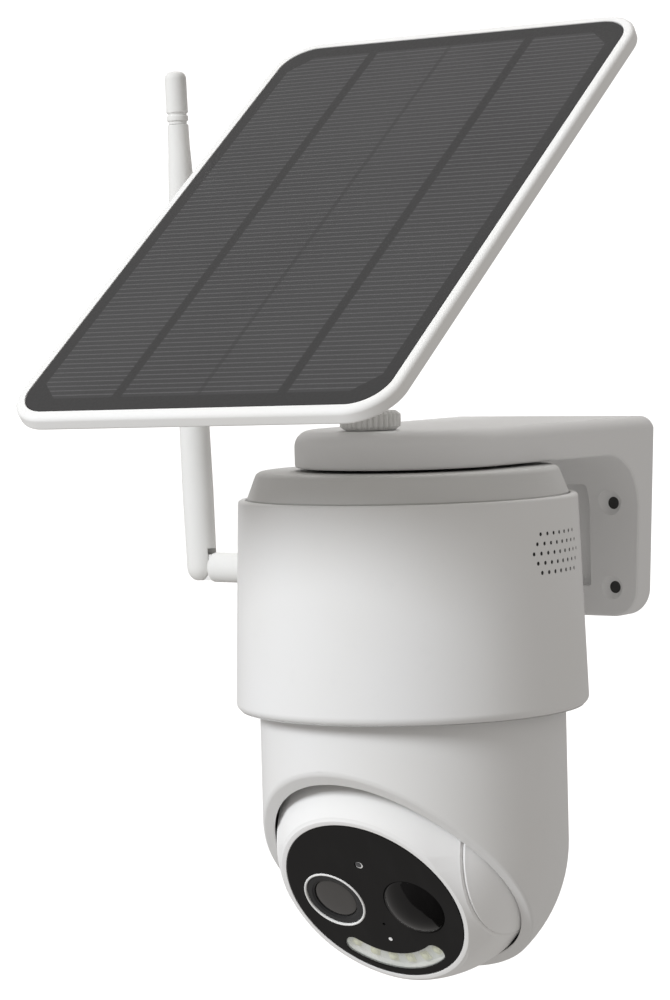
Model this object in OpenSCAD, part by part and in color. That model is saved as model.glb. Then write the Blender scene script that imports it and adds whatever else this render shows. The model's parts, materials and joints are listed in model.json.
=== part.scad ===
// Solar-powered pan and tilt security camera on a wall bracket.
// Frame: +Z up, +Y into the wall, the camera looks along -Y. The origin is the middle of the
// four wall screw holes, on the back face of the wall plate. Millimetres.

/* [Wall bracket] */
// Distance from the wall to the upright axis of the camera body
arm_reach = 94; // [88:1:104]
// Radius of the arm's round end
hub_r = 38; // [36:0.5:41]
// Thickness of the arm
arm_t = 12.7; // [12:0.1:14]
// Height of the arm's top face above the middle of the wall screws
arm_top = 45.7; // [44:0.1:50]
// Width of the wall plate along its top edge
plate_w = 86.4; // [84:0.2:92]
// Height of the wall plate, arm included
plate_h = 71; // [68:0.5:75]
// Thickness of the wall plate
plate_t = 9.2; // [8.5:0.1:10.5]
// Slope of each side edge of the wall plate, in degrees
plate_draft = 2.7; // [0:0.1:3]
// Horizontal distance between the wall screw holes
screw_dx = 60; // [56:1:64]
// Vertical distance between the wall screw holes
screw_dz = 30; // [26:1:34]
// Diameter of each wall screw hole
screw_d = 4.4; // [3.4:0.1:5]
// Diameter of each countersink at the plate's front face
sink_d = 8.6; // [7.5:0.1:9.5]

/* [Camera body] */
// Outer radius of the upper shell at its top
shell_r_top = 57.6; // [57:0.1:58.5]
// Outer radius of the upper shell at its bottom
shell_r_bottom = 60; // [59.5:0.1:61]
// Height of the upper shell
shell_h = 71.5; // [70:0.5:74]
// Wall thickness of the upper shell
shell_wall = 2.5; // [2:0.1:2.8]
// Height of the tapered top cap above the shell
cap_h = 9.3; // [8.5:0.1:10]
// Distance between neighbouring speaker holes
speaker_pitch = 3.67; // [3.4:0.01:3.8]
// Angle of the speaker from the +X side towards the wall, in degrees
speaker_angle = 2.5; // [0:0.5:5]

/* [Pan and tilt head] */
// Outer radius of the pan housing
housing_r = 52; // [51.5:0.1:53]
// Wall thickness of the pan housing
housing_wall = 4; // [3.6:0.1:4]
// Distance of the tilt axis below the bottom of the upper shell
tilt_drop = 46.2; // [46:0.1:48]
// Downward angle of the housing's mouth, in degrees
mouth_angle = 44; // [40:1:48]
// Distance of the mouth's plane from the tilt axis
mouth_offset = 17.3; // [16:0.1:19]
// Outer radius of the ball
ball_r = 47.5; // [47.2:0.1:47.5]
// Distance of the face plate's front from the tilt axis
face_offset = 31.4; // [31:0.1:32]
// Radius of the face plate
face_r = 33.5; // [33:0.1:34]
// Downward angle of the face at rest, in degrees
head_tilt = 32.8; // [28:0.1:38]
// Distance of each side seam from the middle of the ball
seam_x = 37; // [36:0.1:38]

/* [Antenna] */
// Distance of the antenna's knuckle from the body axis
antenna_x = 88; // [84:0.5:92]
// Length of the antenna above its knuckle
antenna_l = 175; // [150:1:190]
// Outward lean of the antenna at rest, in degrees
antenna_lean = 1.9; // [0:0.1:5]

/* [Solar panel] */
// Width of the panel's glass
glass_w = 138.5; // [130:0.5:142]
// Length of the panel's glass
glass_l = 208.5; // [195:0.5:215]
// Width of the white rim around the glass
rim_w = 3.5; // [3:0.1:4.5]
// Height of the ball joint above the middle of the wall screws
ball_z = 91.8; // [88:0.1:98]
// Distance of the glass's front face from the ball joint
panel_offset = 33.4; // [32:0.1:36]
// Slope of the panel at rest, in degrees from flat
panel_tilt = 36.2; // [30:0.1:40]
// Turn of the panel about its own normal at rest, in degrees
panel_roll = 1.4; // [-3:0.1:3]
// Diameter of the knurled clamping knob
knob_d = 20.4; // [19:0.1:22]
// Forward distance of the panel's post from the body axis
post_forward = 21.5; // [20:0.1:24]

/* [Hidden] */
$fn = 96;
fine = 48;
eps = 0.5; // how far a cutting tool runs past the face that it cuts

white = [0.93, 0.93, 0.93];
pale_grey = [0.80, 0.80, 0.79];
black = [0.08, 0.08, 0.08];
steel = [0.72, 0.72, 0.74];

// Running clearance of shafts, and the gap between shells that turn past each other
run = 0.05;

// Heights of the body, from the arm downwards
body_y = -arm_reach;
arm_bottom = arm_top - arm_t;
hub_gap = 1;
cap_top = arm_bottom - hub_gap;
shell_top = cap_top - cap_h;
shell_bottom = shell_top - shell_h;
tilt_z = shell_bottom - tilt_drop;
deck_t = 2.5;
deck_z = tilt_z + ball_r + 0.8;
base_t = 3;
base_z = deck_z + deck_t + 1.5;
base_top = base_z + base_t;
gear_t = 5;
gear_z = base_top + 1;
plate_bottom = arm_top - plate_h;
function shell_r(z) = shell_r_top + (shell_r_bottom - shell_r_top) * (shell_top - z) / shell_h;

// Bracket
plate_corner_r = 10;
inner_fillet_r = 21;
pocket_w = 43;
pocket_bottom = -14.6;
pocket_top = 21.8;
pocket_floor = 4.7;
hub_screw_ring = 19;
hub_screw_angles = [90, 210, 330];
post_y = body_y - post_forward;
post_r = 4;
post_nut_z = arm_bottom + 1;
post_nut_h = 5.2;
post_recess_z = arm_bottom + 6.5;

// Columns inside the shell, and the battery tray
column_ring = 52;
column_angles = [45, 135, 225, 315];
tray_y = body_y + 3.2;
tray_z = base_top + 9.7;
cell_r = 9.2;
cell_l = 65;
tray_post_x = 33;
tray_posts_y = [body_y - 14, body_y + 20];

// Pan gears: involute teeth, 20 degree pressure angle
pan_teeth = 60;
pan_pinion_teeth = 18;
pan_module = 1;
pan_centres = pan_module * (pan_teeth + pan_pinion_teeth) / 2;
spindle_r = 15;
gear_seat_r = 13;
motor_z = gear_z + gear_t + 1.7;

// Tilt gears
tilt_teeth = 30;
tilt_pinion_teeth = 18;
tilt_module = 0.8;
tilt_centres = tilt_module * (tilt_teeth + tilt_pinion_teeth) / 2;
tilt_gear_x = -30;
tilt_gear_t = 4;
tilt_pin_r = 4;
tilt_motor_angle = 88;

// Face details, across and up from the middle of the face
ball_wall = 2.5;
ball_split_y = 2;
ball_rear_y = 20;
face_t = 2;
lens_at = [-16.5, -1];
lens_ring_r = 11.7;
pir_at = [15.5, -1];
pir_r = 11.3;
pir_h = 4.5;
strip_r = 27;
strip_half = 3.5;
strip_span = 37;
led_count = 6;
sensor_at = [0, 16];
sensor_r = 1.5;
mic_at = [0, -10.2];
status_at = [0, -17];

// Port recess on the back of the shell
pad_w = 36;
pad_z = [-27, -5];
pad_y = body_y + 60.2;
recess_y = body_y + 58;
recess_w = 30;
recess_z = [-24.4, -8];
cover_pin = [body_y + 59.1, -23];

// Antenna
antenna_z = -3.6;
stub_r = 5.25;
blade_r = 5.3;
tongue_t = 4.4;

// Solar panel
panel_t = 8;
rim_t = 5;
glass_corner_r = 12;
joint_ball_r = 9;
seat_r = 11;
socket_r = 14;

module bracket_screw_places() {
  for (x = [-1, 1], z = [-1, 1]) translate([x * screw_dx / 2, 0, z * screw_dz / 2]) children();
}

// Puts children on the body axis
module on_axis() {
  translate([0, body_y, 0]) children();
}

// Puts children around the body axis, at radius r and each angle of the list
module around_axis(r, angles) {
  on_axis() for (a = angles) rotate([0, 0, a]) translate([r, 0, 0]) children();
}

// A disc or rod whose axis points along Y, from y0 to y1
module rod_y(r, y0, y1, n = fine) {
  translate([0, y1, 0]) rotate([90, 0, 0]) cylinder(r = r, h = y1 - y0, $fn = n);
}

// A rod whose axis points along X, from x0 to x1
module rod_x(r, x0, x1, n = fine) {
  translate([x0, 0, 0]) rotate([0, 90, 0]) cylinder(r = r, h = x1 - x0, $fn = n);
}

module rounded_rect(w, h, r) {
  square([w - 2 * r, h], center = true);
  square([w, h - 2 * r], center = true);
  for (x = [-1, 1], y = [-1, 1]) translate([x * (w / 2 - r), y * (h / 2 - r)]) circle(r = r, $fn = fine);
}

// Points of a round stretch of an outline
function arc(c, r, a0, a1, n = 6) =
  [for (i = [0:n]) let (a = a0 + (a1 - a0) * i / n) [c[0] + r * cos(a), c[1] + r * sin(a)]];

// Involute gear outline with a little backlash
function inv(a) = tan(a) * 180 / PI - a;
function gear_points(teeth, m, backlash = 0.24) =
  let (
    rp = teeth * m / 2,
    rb = rp * cos(20),
    ra = rp + 0.9 * m,
    rf = rp - 1.15 * m,
    r0 = max(rb, rf) + 0.001,
    half = 90 / teeth - backlash / 2 / rp * 180 / PI + inv(20),
    flank = [for (i = [0:4]) let (r = r0 + (ra - r0) * i / 4) [r, half - inv(acos(rb / r))]]
  )
  [
    for (k = [0:teeth - 1])
      let (a = 360 * k / teeth)
      each concat(
        [[rf * cos(a - half), rf * sin(a - half)]],
        [for (i = [0:4]) flank[i][0] * [cos(a - flank[i][1]), sin(a - flank[i][1])]],
        [for (i = [4:-1:0]) flank[i][0] * [cos(a + flank[i][1]), sin(a + flank[i][1])]],
        [[rf * cos(a + half), rf * sin(a + half)]]
      )
  ];

// ---- Wall bracket ----

module arm_plan() {
  // side edges run from the plate's corners to where they touch the round end
  reach = sqrt(pow(plate_w / 2, 2) + pow(arm_reach, 2));
  touch = atan2(arm_reach, plate_w / 2) - acos(hub_r / reach);
  translate([0, body_y]) circle(r = hub_r);
  polygon([
    [-plate_w / 2, 0], [-hub_r * cos(touch), body_y + hub_r * sin(touch)],
    [hub_r * cos(touch), body_y + hub_r * sin(touch)], [plate_w / 2, 0]
  ]);
}

module bracket_side() {
  translate([body_y - hub_r - 1, arm_bottom]) square([arm_reach + hub_r + 1, arm_t]);
  translate([-plate_t, plate_bottom]) square([plate_t, plate_h]);
  difference() {
    translate([-plate_t - inner_fillet_r, arm_bottom - inner_fillet_r]) square(inner_fillet_r + 1);
    translate([-plate_t - inner_fillet_r, arm_bottom - inner_fillet_r]) circle(r = inner_fillet_r);
  }
}

module plate_front() {
  r = plate_corner_r;
  zc = plate_bottom + r;
  xc = plate_w / 2 - (arm_top - zc) * tan(plate_draft) - r / cos(plate_draft);
  corner = arc([xc, zc], r, -90, -plate_draft, 12);
  polygon(concat(
    [[-plate_w / 2, arm_top], [plate_w / 2, arm_top]],
    [for (i = [12:-1:0]) corner[i]],
    [for (i = [0:12]) [-corner[i][0], corner[i][1]]]
  ));
}

module wall_bracket() {
  color(pale_grey) difference() {
    intersection() {
      translate([0, 0, plate_bottom]) linear_extrude(plate_h) arm_plan();
      rotate([90, 0, 90]) linear_extrude(plate_w + 2, center = true) bracket_side();
      translate([0, 1, 0]) rotate([90, 0, 0]) linear_extrude(arm_reach + hub_r + 2) plate_front();
    }
    bracket_screw_places() {
      rod_y(screw_d / 2, -plate_t - eps, eps);
      translate([0, -plate_t, 0]) rotate([-90, 0, 0])
        cylinder(d1 = sink_d, d2 = screw_d, h = 2.6, $fn = fine);
      rod_y(sink_d / 2, -plate_t - inner_fillet_r, -plate_t);
    }
    translate([-pocket_w / 2, -plate_t - inner_fillet_r, pocket_bottom])
      cube([pocket_w, plate_t + inner_fillet_r - pocket_floor, pocket_top - pocket_bottom]);
    around_axis(hub_screw_ring, hub_screw_angles)
      translate([0, 0, arm_bottom - eps]) cylinder(r = 3.05, h = 9.5 + eps, $fn = fine);
    translate([0, post_y, arm_bottom - eps]) {
      cylinder(r = post_r + run, h = arm_t + 2 * eps, $fn = fine);
      cylinder(r = 8.5, h = post_recess_z - arm_bottom + eps, $fn = fine);
    }
  }
}

// Socket-head screws that hang the body from the arm
module hub_screws() {
  color(steel) around_axis(hub_screw_ring, hub_screw_angles) {
    difference() {
      translate([0, 0, cap_top - 7.1]) cylinder(r = 3.5, h = 3, $fn = fine);
      translate([0, 0, cap_top - 7.6]) cylinder(r = 1.7, h = 2.4, $fn = 6);
    }
    translate([0, 0, cap_top - 4.11]) cylinder(r = 2, h = arm_bottom + 9 - cap_top + 4.11, $fn = fine);
  }
}

module hub_nuts() {
  color(steel) around_axis(hub_screw_ring, hub_screw_angles) translate([0, 0, arm_bottom + 0.5]) difference() {
    cylinder(r = 3, h = 8, $fn = fine);
    translate([0, 0, -eps]) cylinder(r = 2.05, h = 9, $fn = fine);
  }
}

module hub_seal() {
  color(black) on_axis() translate([0, 0, cap_top]) difference() {
    cylinder(r = 30, h = hub_gap);
    translate([0, 0, -eps]) cylinder(r = 25, h = hub_gap + 2 * eps);
  }
}

// ---- Camera body ----

module top_cap() {
  wall = 2.5;
  base_r = shell_r_top - shell_wall - 0.1;
  edge = 1.6;
  cap_top_r = base_r - 3.6;
  color(pale_grey) on_axis() {
    difference() {
      union() {
        rotate_extrude() polygon(concat(
          [[0, shell_top - 2.5], [base_r, shell_top - 2.5], [base_r, shell_top]],
          arc([cap_top_r - edge, cap_top - edge], edge, 20, 90),
          [[0, cap_top]]
        ));
      }
      translate([0, 0, shell_top - 3]) cylinder(r = base_r - wall, h = 3);
      translate([0, 0, shell_top - 0.01]) cylinder(r1 = base_r - wall, r2 = cap_top_r - wall, h = cap_top - shell_top - 4);
      for (a = hub_screw_angles) rotate([0, 0, a]) translate([hub_screw_ring, 0, cap_top - 5])
        cylinder(r = 2.1, h = 6, $fn = fine);
    }
    for (a = [30, 150, 270]) rotate([0, 0, a]) translate([40, 0, shell_top - 4.1])
      cylinder(r = 3, h = cap_top - shell_top + 0.5, $fn = fine);
  }
}

module speaker_holes() {
  rows = [7, 8, 9, 8, 7];
  pitch_deg = speaker_pitch / 58.3 * 180 / PI;
  for (row = [0:4], i = [0:rows[row] - 1])
    rotate([0, 0, speaker_angle + (i - (rows[row] - 1) / 2) * pitch_deg])
      translate([0, 0, 4.7 + (2 - row) * speaker_pitch * sin(60)])
        rod_x(0.55, 50, 62, 16);
}

module upper_shell() {
  fillet = 3;
  lip = 1.2;
  rb = shell_r(shell_bottom);
  color(white) on_axis() difference() {
    union() {
      difference() {
        rotate_extrude() polygon(concat(
          [[rb - shell_wall, shell_bottom]],
          arc([rb - fillet, shell_bottom + fillet], fillet, -90, 0),
          arc([shell_r_top - lip, shell_top - lip], lip, 0, 90),
          [[shell_r_top - shell_wall, shell_top]]
        ));
        rod_x(6.4, -62, -57.2);
      }
      // columns for the cap's and the base plate's screws
      intersection() {
        for (a = column_angles) rotate([0, 0, a]) translate([column_ring, 0, base_top])
          cylinder(r = 3.2, h = shell_top - 2.5 - base_top, $fn = fine);
        translate([0, 0, shell_bottom]) cylinder(r1 = rb - 1, r2 = shell_r_top - 1, h = shell_h);
      }
      // antenna boss
      translate([0, 0, antenna_z]) rod_x(7.5, -58.9, -50);
      // flat pad of the port recess
      translate([-pad_w / 2, 54.5, pad_z[0]]) cube([pad_w, pad_y - body_y - 54.5, pad_z[1] - pad_z[0]]);
    }
    speaker_holes();
    translate([0, 0, antenna_z]) rod_x(4 + run, -62, -45);
    for (a = column_angles) rotate([0, 0, a]) translate([column_ring, 0, base_top - eps])
      cylinder(r = 1.3, h = 14, $fn = fine);
    translate([-recess_w / 2, recess_y - body_y, recess_z[0]])
      cube([recess_w, 4, recess_z[1] - recess_z[0]]);
    translate([0, cover_pin[0] - body_y, cover_pin[1]]) rod_x(0.85, -16.4, 16.4, 24);
    translate([-7 - 4.7, 51, -18]) cube([9.4, 12, 3.8]);
    translate([8, 0, -16]) rod_y(2.6, 51, 62);
  }
}

module speaker() {
  color(black) on_axis() rotate([0, 0, speaker_angle]) translate([0, 0, 4.7]) {
    difference() {
      rod_x(12, 47, 52.5);
      rod_x(10.5, 50.5, 53);
    }
    rod_x(6, 42, 47);
    rod_x(4, 50, 51.5);
  }
}

module main_board() {
  color("darkgreen") on_axis() translate([0, 0, shell_top - 5.7]) {
    difference() {
      cylinder(r = 48, h = 1.6);
      translate([0, 0, -eps]) cylinder(r = 5, h = 3, $fn = fine);
    }
    translate([-14, -30, 1.5]) cube([20, 16, 1.2]);
    translate([-22, 18, -3]) cube([24, 12, 3.1]);
  }
}

module battery_tray() {
  wall = 1.6;
  w = cell_l + 2 * wall + 1;
  d = 4 * cell_r + 2 * wall + 0.8;
  color(black) translate([-w / 2, tray_y - d / 2, tray_z]) difference() {
    cube([w, d, 34]);
    translate([wall, wall, wall]) cube([w - 2 * wall, d - 2 * wall, 34]);
  }
}

// Four round cells in two layers
module battery_cells() {
  color("steelblue") for (row = [-1, 1], layer = [0, 1])
    translate([0, tray_y + row * (cell_r + 0.1), tray_z + 1.7 + cell_r + layer * (2 * cell_r + 0.1)]) {
      rod_x(cell_r, -cell_l / 2, cell_l / 2 - 1);
      rod_x(3.5, cell_l / 2 - 1.01, cell_l / 2);
    }
}

module base_plate() {
  color(pale_grey) {
    on_axis() translate([0, 0, base_z]) difference() {
      cylinder(r = shell_r(base_top) - shell_wall - 0.2, h = base_t);
      translate([0, 0, -eps]) cylinder(r = 17.5, h = base_t + 2 * eps);
      for (a = column_angles) rotate([0, 0, a]) translate([column_ring, 0, -eps]) {
        cylinder(r = 1.7, h = base_t + 2 * eps, $fn = fine);
        cylinder(r = 2.9, h = eps + 1.6, $fn = fine);
      }
    }
    // posts under the battery tray and the pan motor
    for (x = [-1, 1], y = tray_posts_y) translate([x * tray_post_x, y, base_top - 0.01])
      cylinder(r = 2.5, h = tray_z - base_top + 0.01, $fn = fine);
    for (x = [-1, 1]) translate([x * 17.5, body_y - pan_centres, base_top - 0.01])
      cylinder(r = 3, h = motor_z - base_top + 0.01, $fn = fine);
  }
}

module base_screws() {
  color(steel) around_axis(column_ring, column_angles) {
    translate([0, 0, base_z + 0.1]) cylinder(r = 2.6, h = 1.5, $fn = fine);
    translate([0, 0, base_z + 1.59]) cylinder(r = 1.25, h = 12.4, $fn = fine);
  }
}

module pan_bush() {
  color("ivory") on_axis() difference() {
    union() {
      translate([0, 0, base_z]) cylinder(r = 17.45, h = base_t);
      translate([0, 0, base_top]) cylinder(r = 20, h = 0.8);
    }
    translate([0, 0, base_z - eps]) cylinder(r = spindle_r + run, h = 6);
  }
}

module pan_seal() {
  color(black) on_axis() translate([0, 0, base_z - 1.2]) difference() {
    cylinder(r = 44, h = 1.2);
    translate([0, 0, -eps]) cylinder(r = 41.5, h = 3);
  }
}

// Can-type stepper with two ears, shaft downwards
module pan_motor() {
  color(steel) translate([0, body_y - pan_centres, motor_z]) difference() {
    union() {
      cylinder(r = 14, h = 19);
      for (x = [-1, 1]) translate([x * 17.5, 0, 0]) cylinder(r = 3.5, h = 1, $fn = fine);
      translate([-17.5, -3.5, 0]) cube([35, 7, 1]);
    }
    translate([0, 0, -eps]) cylinder(r = 2.5, h = 10, $fn = fine);
  }
}

module usb_socket() {
  color(steel) translate([-7, body_y, -16.1]) difference() {
    translate([-4.5, 50.5, -1.7]) cube([9, 7.3, 3.4]);
    translate([-4.1, 51.5, -1.3]) cube([8.2, 7.3, 2.6]);
  }
}

// Rubber flap over the ports, hinged on two pegs along its lower edge
module port_cover() {
  color(pale_grey) {
    rotate([90, 0, 90]) linear_extrude(29.4, center = true) polygon(concat(
      arc(cover_pin, 0.9, 180, 360, 12),
      [[cover_pin[0] + 0.9, -8.3], [cover_pin[0] - 0.9, -8.3]]
    ));
    translate([-5, body_y + 59.9, -10.8]) cube([10, 0.9, 1.2]);
    for (x = [-16.1, 14.6]) translate([0, cover_pin[0], cover_pin[1]]) rod_x(0.8, x, x + 1.5, 24);
  }
}

module power_button() {
  color(black) translate([8, body_y, -16]) {
    rod_y(2.5, 52, 57.9);
    rod_y(3.4, 52.2, 53.4);
  }
}

// ---- Solar panel and its ball joint ----

module panel_place() {
  translate([0, post_y, ball_z]) rotate([panel_tilt, 0, 0]) rotate([0, 0, panel_roll]) children();
}

module clamp_knob() {
  ribs = 34;
  ring = [for (i = [0:ribs - 1], k = [0:3])
    let (a = (i + [0, 0.25, 0.5, 0.75][k]) * 360 / ribs, r = knob_d / 2 - (k < 2 ? 0 : 0.55))
    [r * cos(a), r * sin(a)]];
  color(pale_grey) translate([0, post_y, arm_top + 0.2]) difference() {
    union() {
      translate([0, 0, 1]) linear_extrude(4.4) polygon(ring);
      cylinder(r1 = knob_d / 2 - 1.8, r2 = knob_d / 2 - 0.6, h = 1.01);
      translate([0, 0, 5.39]) cylinder(r1 = knob_d / 2 - 0.6, r2 = knob_d / 2 - 1.6, h = 1.01);
    }
    translate([0, 0, -eps]) cylinder(r = post_r + run, h = 8, $fn = fine);
  }
}

module ball_post() {
  color(pale_grey) translate([0, post_y, 0]) {
    translate([0, 0, arm_bottom + 0.6]) cylinder(r = post_r, h = arm_top + 8.4 - arm_bottom, $fn = fine);
    translate([0, 0, arm_top + 8.3]) cylinder(r = 5, h = ball_z - 12 - arm_top - 8.3, $fn = fine);
    translate([0, 0, ball_z - 12.01]) cylinder(r1 = 5, r2 = 3.5, h = 1.5, $fn = fine);
    translate([0, 0, ball_z - 12]) cylinder(r = 3.5, h = 6, $fn = fine);
    translate([0, 0, ball_z]) sphere(r = joint_ball_r);
  }
}

module post_nut() {
  color(steel) translate([0, post_y, post_nut_z]) difference() {
    cylinder(r = 7.5, h = post_nut_h, $fn = 6);
    translate([0, 0, -eps]) cylinder(r = post_r + run, h = post_nut_h + 2 * eps, $fn = fine);
  }
}

// Nylon liner between the ball and its socket
module ball_seat() {
  color("ivory") panel_place() rotate_extrude() difference() {
    circle(r = seat_r);
    circle(r = joint_ball_r + run);
    translate([-20, -40]) square([20, 80]);
    translate([-20, -41.5]) square([40, 40]);
  }
}

module panel_socket() {
  back = panel_offset - panel_t;
  color(white) panel_place() difference() {
    union() {
      cylinder(r = socket_r, h = back);
      translate([0, 0, back - 3]) cylinder(r = 22, h = 3);
    }
    sphere(r = seat_r + run);
    for (a = [45:90:315]) rotate([0, 0, a]) translate([18, 0, back - 4]) cylinder(r = 1.7, h = 6, $fn = fine);
  }
}

// Screw collar that squeezes the liner round the ball
module socket_ring() {
  color(pale_grey) panel_place() difference() {
    translate([0, 0, -2.6]) cylinder(r = 17, h = 11.6);
    translate([0, 0, -1.7]) cylinder(r = socket_r + run, h = 20);
    translate([0, 0, -4]) cylinder(r = 10.2, h = 10);
    for (a = [0:30:330]) rotate([0, 0, a]) translate([17.6, 0, -3]) cylinder(r = 1.3, h = 14, $fn = 24);
  }
}

module socket_screws() {
  back = panel_offset - panel_t;
  color(steel) panel_place() for (a = [45:90:315]) rotate([0, 0, a]) translate([18, 0, 0]) {
    translate([0, 0, back - 5]) cylinder(r = 2.8, h = 2, $fn = fine);
    translate([0, 0, back - 3.01]) cylinder(r = 1.5, h = 7, $fn = fine);
  }
}

module panel_tray() {
  rim_r = glass_corner_r + rim_w;
  color(white) panel_place() difference() {
    union() {
      translate([0, 0, panel_offset - rim_t]) linear_extrude(rim_t + 0.2)
        rounded_rect(glass_w + 2 * rim_w, glass_l + 2 * rim_w, rim_r);
      translate([0, 0, panel_offset - panel_t]) linear_extrude(panel_t - rim_t + 0.01)
        rounded_rect(glass_w - 10, glass_l - 10, glass_corner_r - 2);
    }
    translate([0, 0, panel_offset - 3.2]) linear_extrude(4)
      rounded_rect(glass_w, glass_l, glass_corner_r);
    for (a = [45:90:315]) rotate([0, 0, a]) translate([18, 0, panel_offset - panel_t - eps])
      cylinder(r = 1.5 + run, h = 5, $fn = fine);
  }
}

module solar_glass() {
  color([0.13, 0.13, 0.14]) panel_place() translate([0, 0, panel_offset - 1.4]) linear_extrude(1.4)
    rounded_rect(glass_w - 0.3, glass_l - 0.3, glass_corner_r);
}

// Four strips of cells under the glass
module solar_cells() {
  margin = 7;
  strip_w = (glass_w - 2 * margin - 2 * 5 - 1.6) / 4;
  color([0.2, 0.2, 0.22]) panel_place() for (i = [0:3]) {
    left = -glass_w / 2 + margin + i * strip_w + (i > 0 ? 5 : 0) + (i > 1 ? 1.6 : 0) + (i > 2 ? 5 : 0);
    translate([left, -glass_l / 2 + margin, panel_offset - 3]) cube([strip_w, glass_l - 2 * margin, 1.2]);
  }
}

module panel_gland() {
  back = panel_offset - panel_t;
  color(black) panel_place() translate([0, 70, 0]) difference() {
    union() {
      translate([0, 0, back - 9]) cylinder(r = 4.5, h = 9, $fn = fine);
      translate([0, 0, back - 2.5]) cylinder(r = 7, h = 2.5, $fn = 6);
    }
    translate([0, 0, back - 10]) cylinder(r = 2, h = 8, $fn = fine);
  }
}

// ---- Pan housing ----

module tilt_place() {
  translate([0, body_y, tilt_z]) children();
}

module head_place() {
  tilt_place() rotate([head_tilt, 0, 0]) children();
}

module pan_housing() {
  inner = housing_r - housing_wall;
  top = deck_z - tilt_z;
  color(white) tilt_place() difference() {
    union() {
      cylinder(r = housing_r, h = top);
      intersection() {
        sphere(r = housing_r);
        translate([0, 0, -60]) cube([120, 120, 120.02], center = true);
      }
    }
    translate([0, 0, -0.01]) cylinder(r = inner, h = top + 1);
    intersection() {
      sphere(r = inner);
      translate([0, 0, -60]) cube([120, 120, 120.02], center = true);
    }
    rotate([mouth_angle, 0, 0]) translate([-80, -mouth_offset - 80, -80]) cube([160, 80, 160]);
    rod_x(tilt_pin_r + run, -inner - 2.5, inner + 2.5);
    for (a = [15:60:315]) rotate([0, 0, a]) translate([housing_r - 2, 0, top - 8]) cylinder(r = 1.05, h = 9, $fn = fine);
  }
}

module pan_deck() {
  color(pale_grey) on_axis() difference() {
    union() {
      translate([0, 0, deck_z]) cylinder(r = housing_r - 0.1, h = deck_t);
      translate([0, 0, deck_z + deck_t - 0.01]) cylinder(r = spindle_r, h = gear_z - deck_z - deck_t + 0.01);
      translate([0, 0, gear_z - 0.01]) cylinder(r = gear_seat_r, h = gear_t + 0.01);
    }
    translate([0, 0, deck_z - eps]) cylinder(r = 10.5, h = 20);
    for (a = [15:60:315]) rotate([0, 0, a]) translate([housing_r - 2, 0, deck_z - eps]) cylinder(r = 1.05, h = 4, $fn = fine);
  }
}

module deck_screws() {
  color(steel) on_axis() for (a = [15:60:315]) rotate([0, 0, a]) translate([housing_r - 2, 0, 0]) {
    translate([0, 0, deck_z - 7]) cylinder(r = 1, h = deck_t + 7.01, $fn = fine);
    translate([0, 0, deck_z + deck_t]) cylinder(r = 1.7, h = 0.8, $fn = fine);
  }
}

module pan_gear() {
  color("ivory") on_axis() translate([0, 0, gear_z]) difference() {
    linear_extrude(gear_t) rotate([0, 0, -90]) polygon(gear_points(pan_teeth, pan_module));
    translate([0, 0, -eps]) cylinder(r = gear_seat_r + run, h = gear_t + 2 * eps);
  }
}

module pan_pinion() {
  color("ivory") translate([0, body_y - pan_centres, gear_z]) {
    linear_extrude(gear_t) polygon(gear_points(pan_pinion_teeth, pan_module));
    translate([0, 0, gear_t - 0.01]) cylinder(r = 2.45, h = 8, $fn = fine);
  }
}

// Spring-loaded pivots that carry the ball, fixed in the housing's side walls
module tilt_pins() {
  inner = housing_r - housing_wall;
  color(steel) tilt_place() {
    rod_x(tilt_pin_r, -inner - 2.4, tilt_gear_x + tilt_gear_t);
    rod_x(tilt_pin_r, 31, inner + 2.4);
  }
}

module tilt_gear() {
  color("ivory") tilt_place() translate([tilt_gear_x, 0, 0]) difference() {
    rotate([90, 0, 90]) linear_extrude(tilt_gear_t - 0.5)
      rotate([0, 0, head_tilt + tilt_motor_angle]) polygon(gear_points(tilt_teeth, tilt_module));
    rod_x(tilt_pin_r + run, -1, 10);
  }
}

// ---- Head: the ball and what it carries ----

module tilt_motor_place() {
  head_place() rotate([tilt_motor_angle, 0, 0]) translate([0, tilt_centres, 0]) children();
}

module tilt_pinion() {
  color("ivory") tilt_motor_place() translate([tilt_gear_x, 0, 0]) {
    rotate([90, 0, 90]) linear_extrude(tilt_gear_t)
      rotate([0, 0, 180 + 180 / tilt_pinion_teeth]) polygon(gear_points(tilt_pinion_teeth, tilt_module));
    rod_x(1.95, tilt_gear_t - 0.01, 11);
  }
}

module tilt_motor() {
  color(steel) tilt_motor_place() difference() {
    union() {
      rod_x(9, -22, -6);
      rod_x(4, -23.5, -21.9);
    }
    rod_x(2, -24, -18);
  }
}

// Carrier behind the face plate, with a wall that holds the tilt motor
module head_frame() {
  color(black) head_place() {
    difference() {
      union() {
        rod_y(31, -24, -22, 96);
        translate([-27, -22.5, 6]) cube([5, 40, 24]);
      }
      translate([lens_at[0], 0, lens_at[1]]) rod_y(9.5, -30, -20);
      translate([pir_at[0], 0, pir_at[1]]) rod_y(8, -30, -20);
      rotate([tilt_motor_angle, 0, 0]) translate([0, tilt_centres, 0]) rod_x(4.2, -30, -18);
      rod_x(15, -40, -10);
      // room for the camera's barrel and its sensor board
      translate([-30, -22, -20]) cube([12, 9.2, 31]);
      rotate([tilt_motor_angle, 0, 0]) translate([0, tilt_centres, 0]) rod_x(8.6, -40, -24.6);
      difference() {
        rotate([0, 90, 0]) cylinder(r = 80, h = 200, center = true);
        rotate([0, 90, 0]) cylinder(r = 34, h = 200, center = true);
      }
    }
  }
}

// Half section of the ball's wall, to be turned about the axis along its right-hand edge
module wall_section() {
  difference() {
    circle(r = ball_r);
    circle(r = ball_r - ball_wall);
    translate([-60, -60]) square([60, 120]);
  }
}

// Turns a half section about the face's axis; its upward direction becomes the forward one
module turned_forward() {
  rotate([90, 0, 0]) rotate_extrude() children();
}

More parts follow.
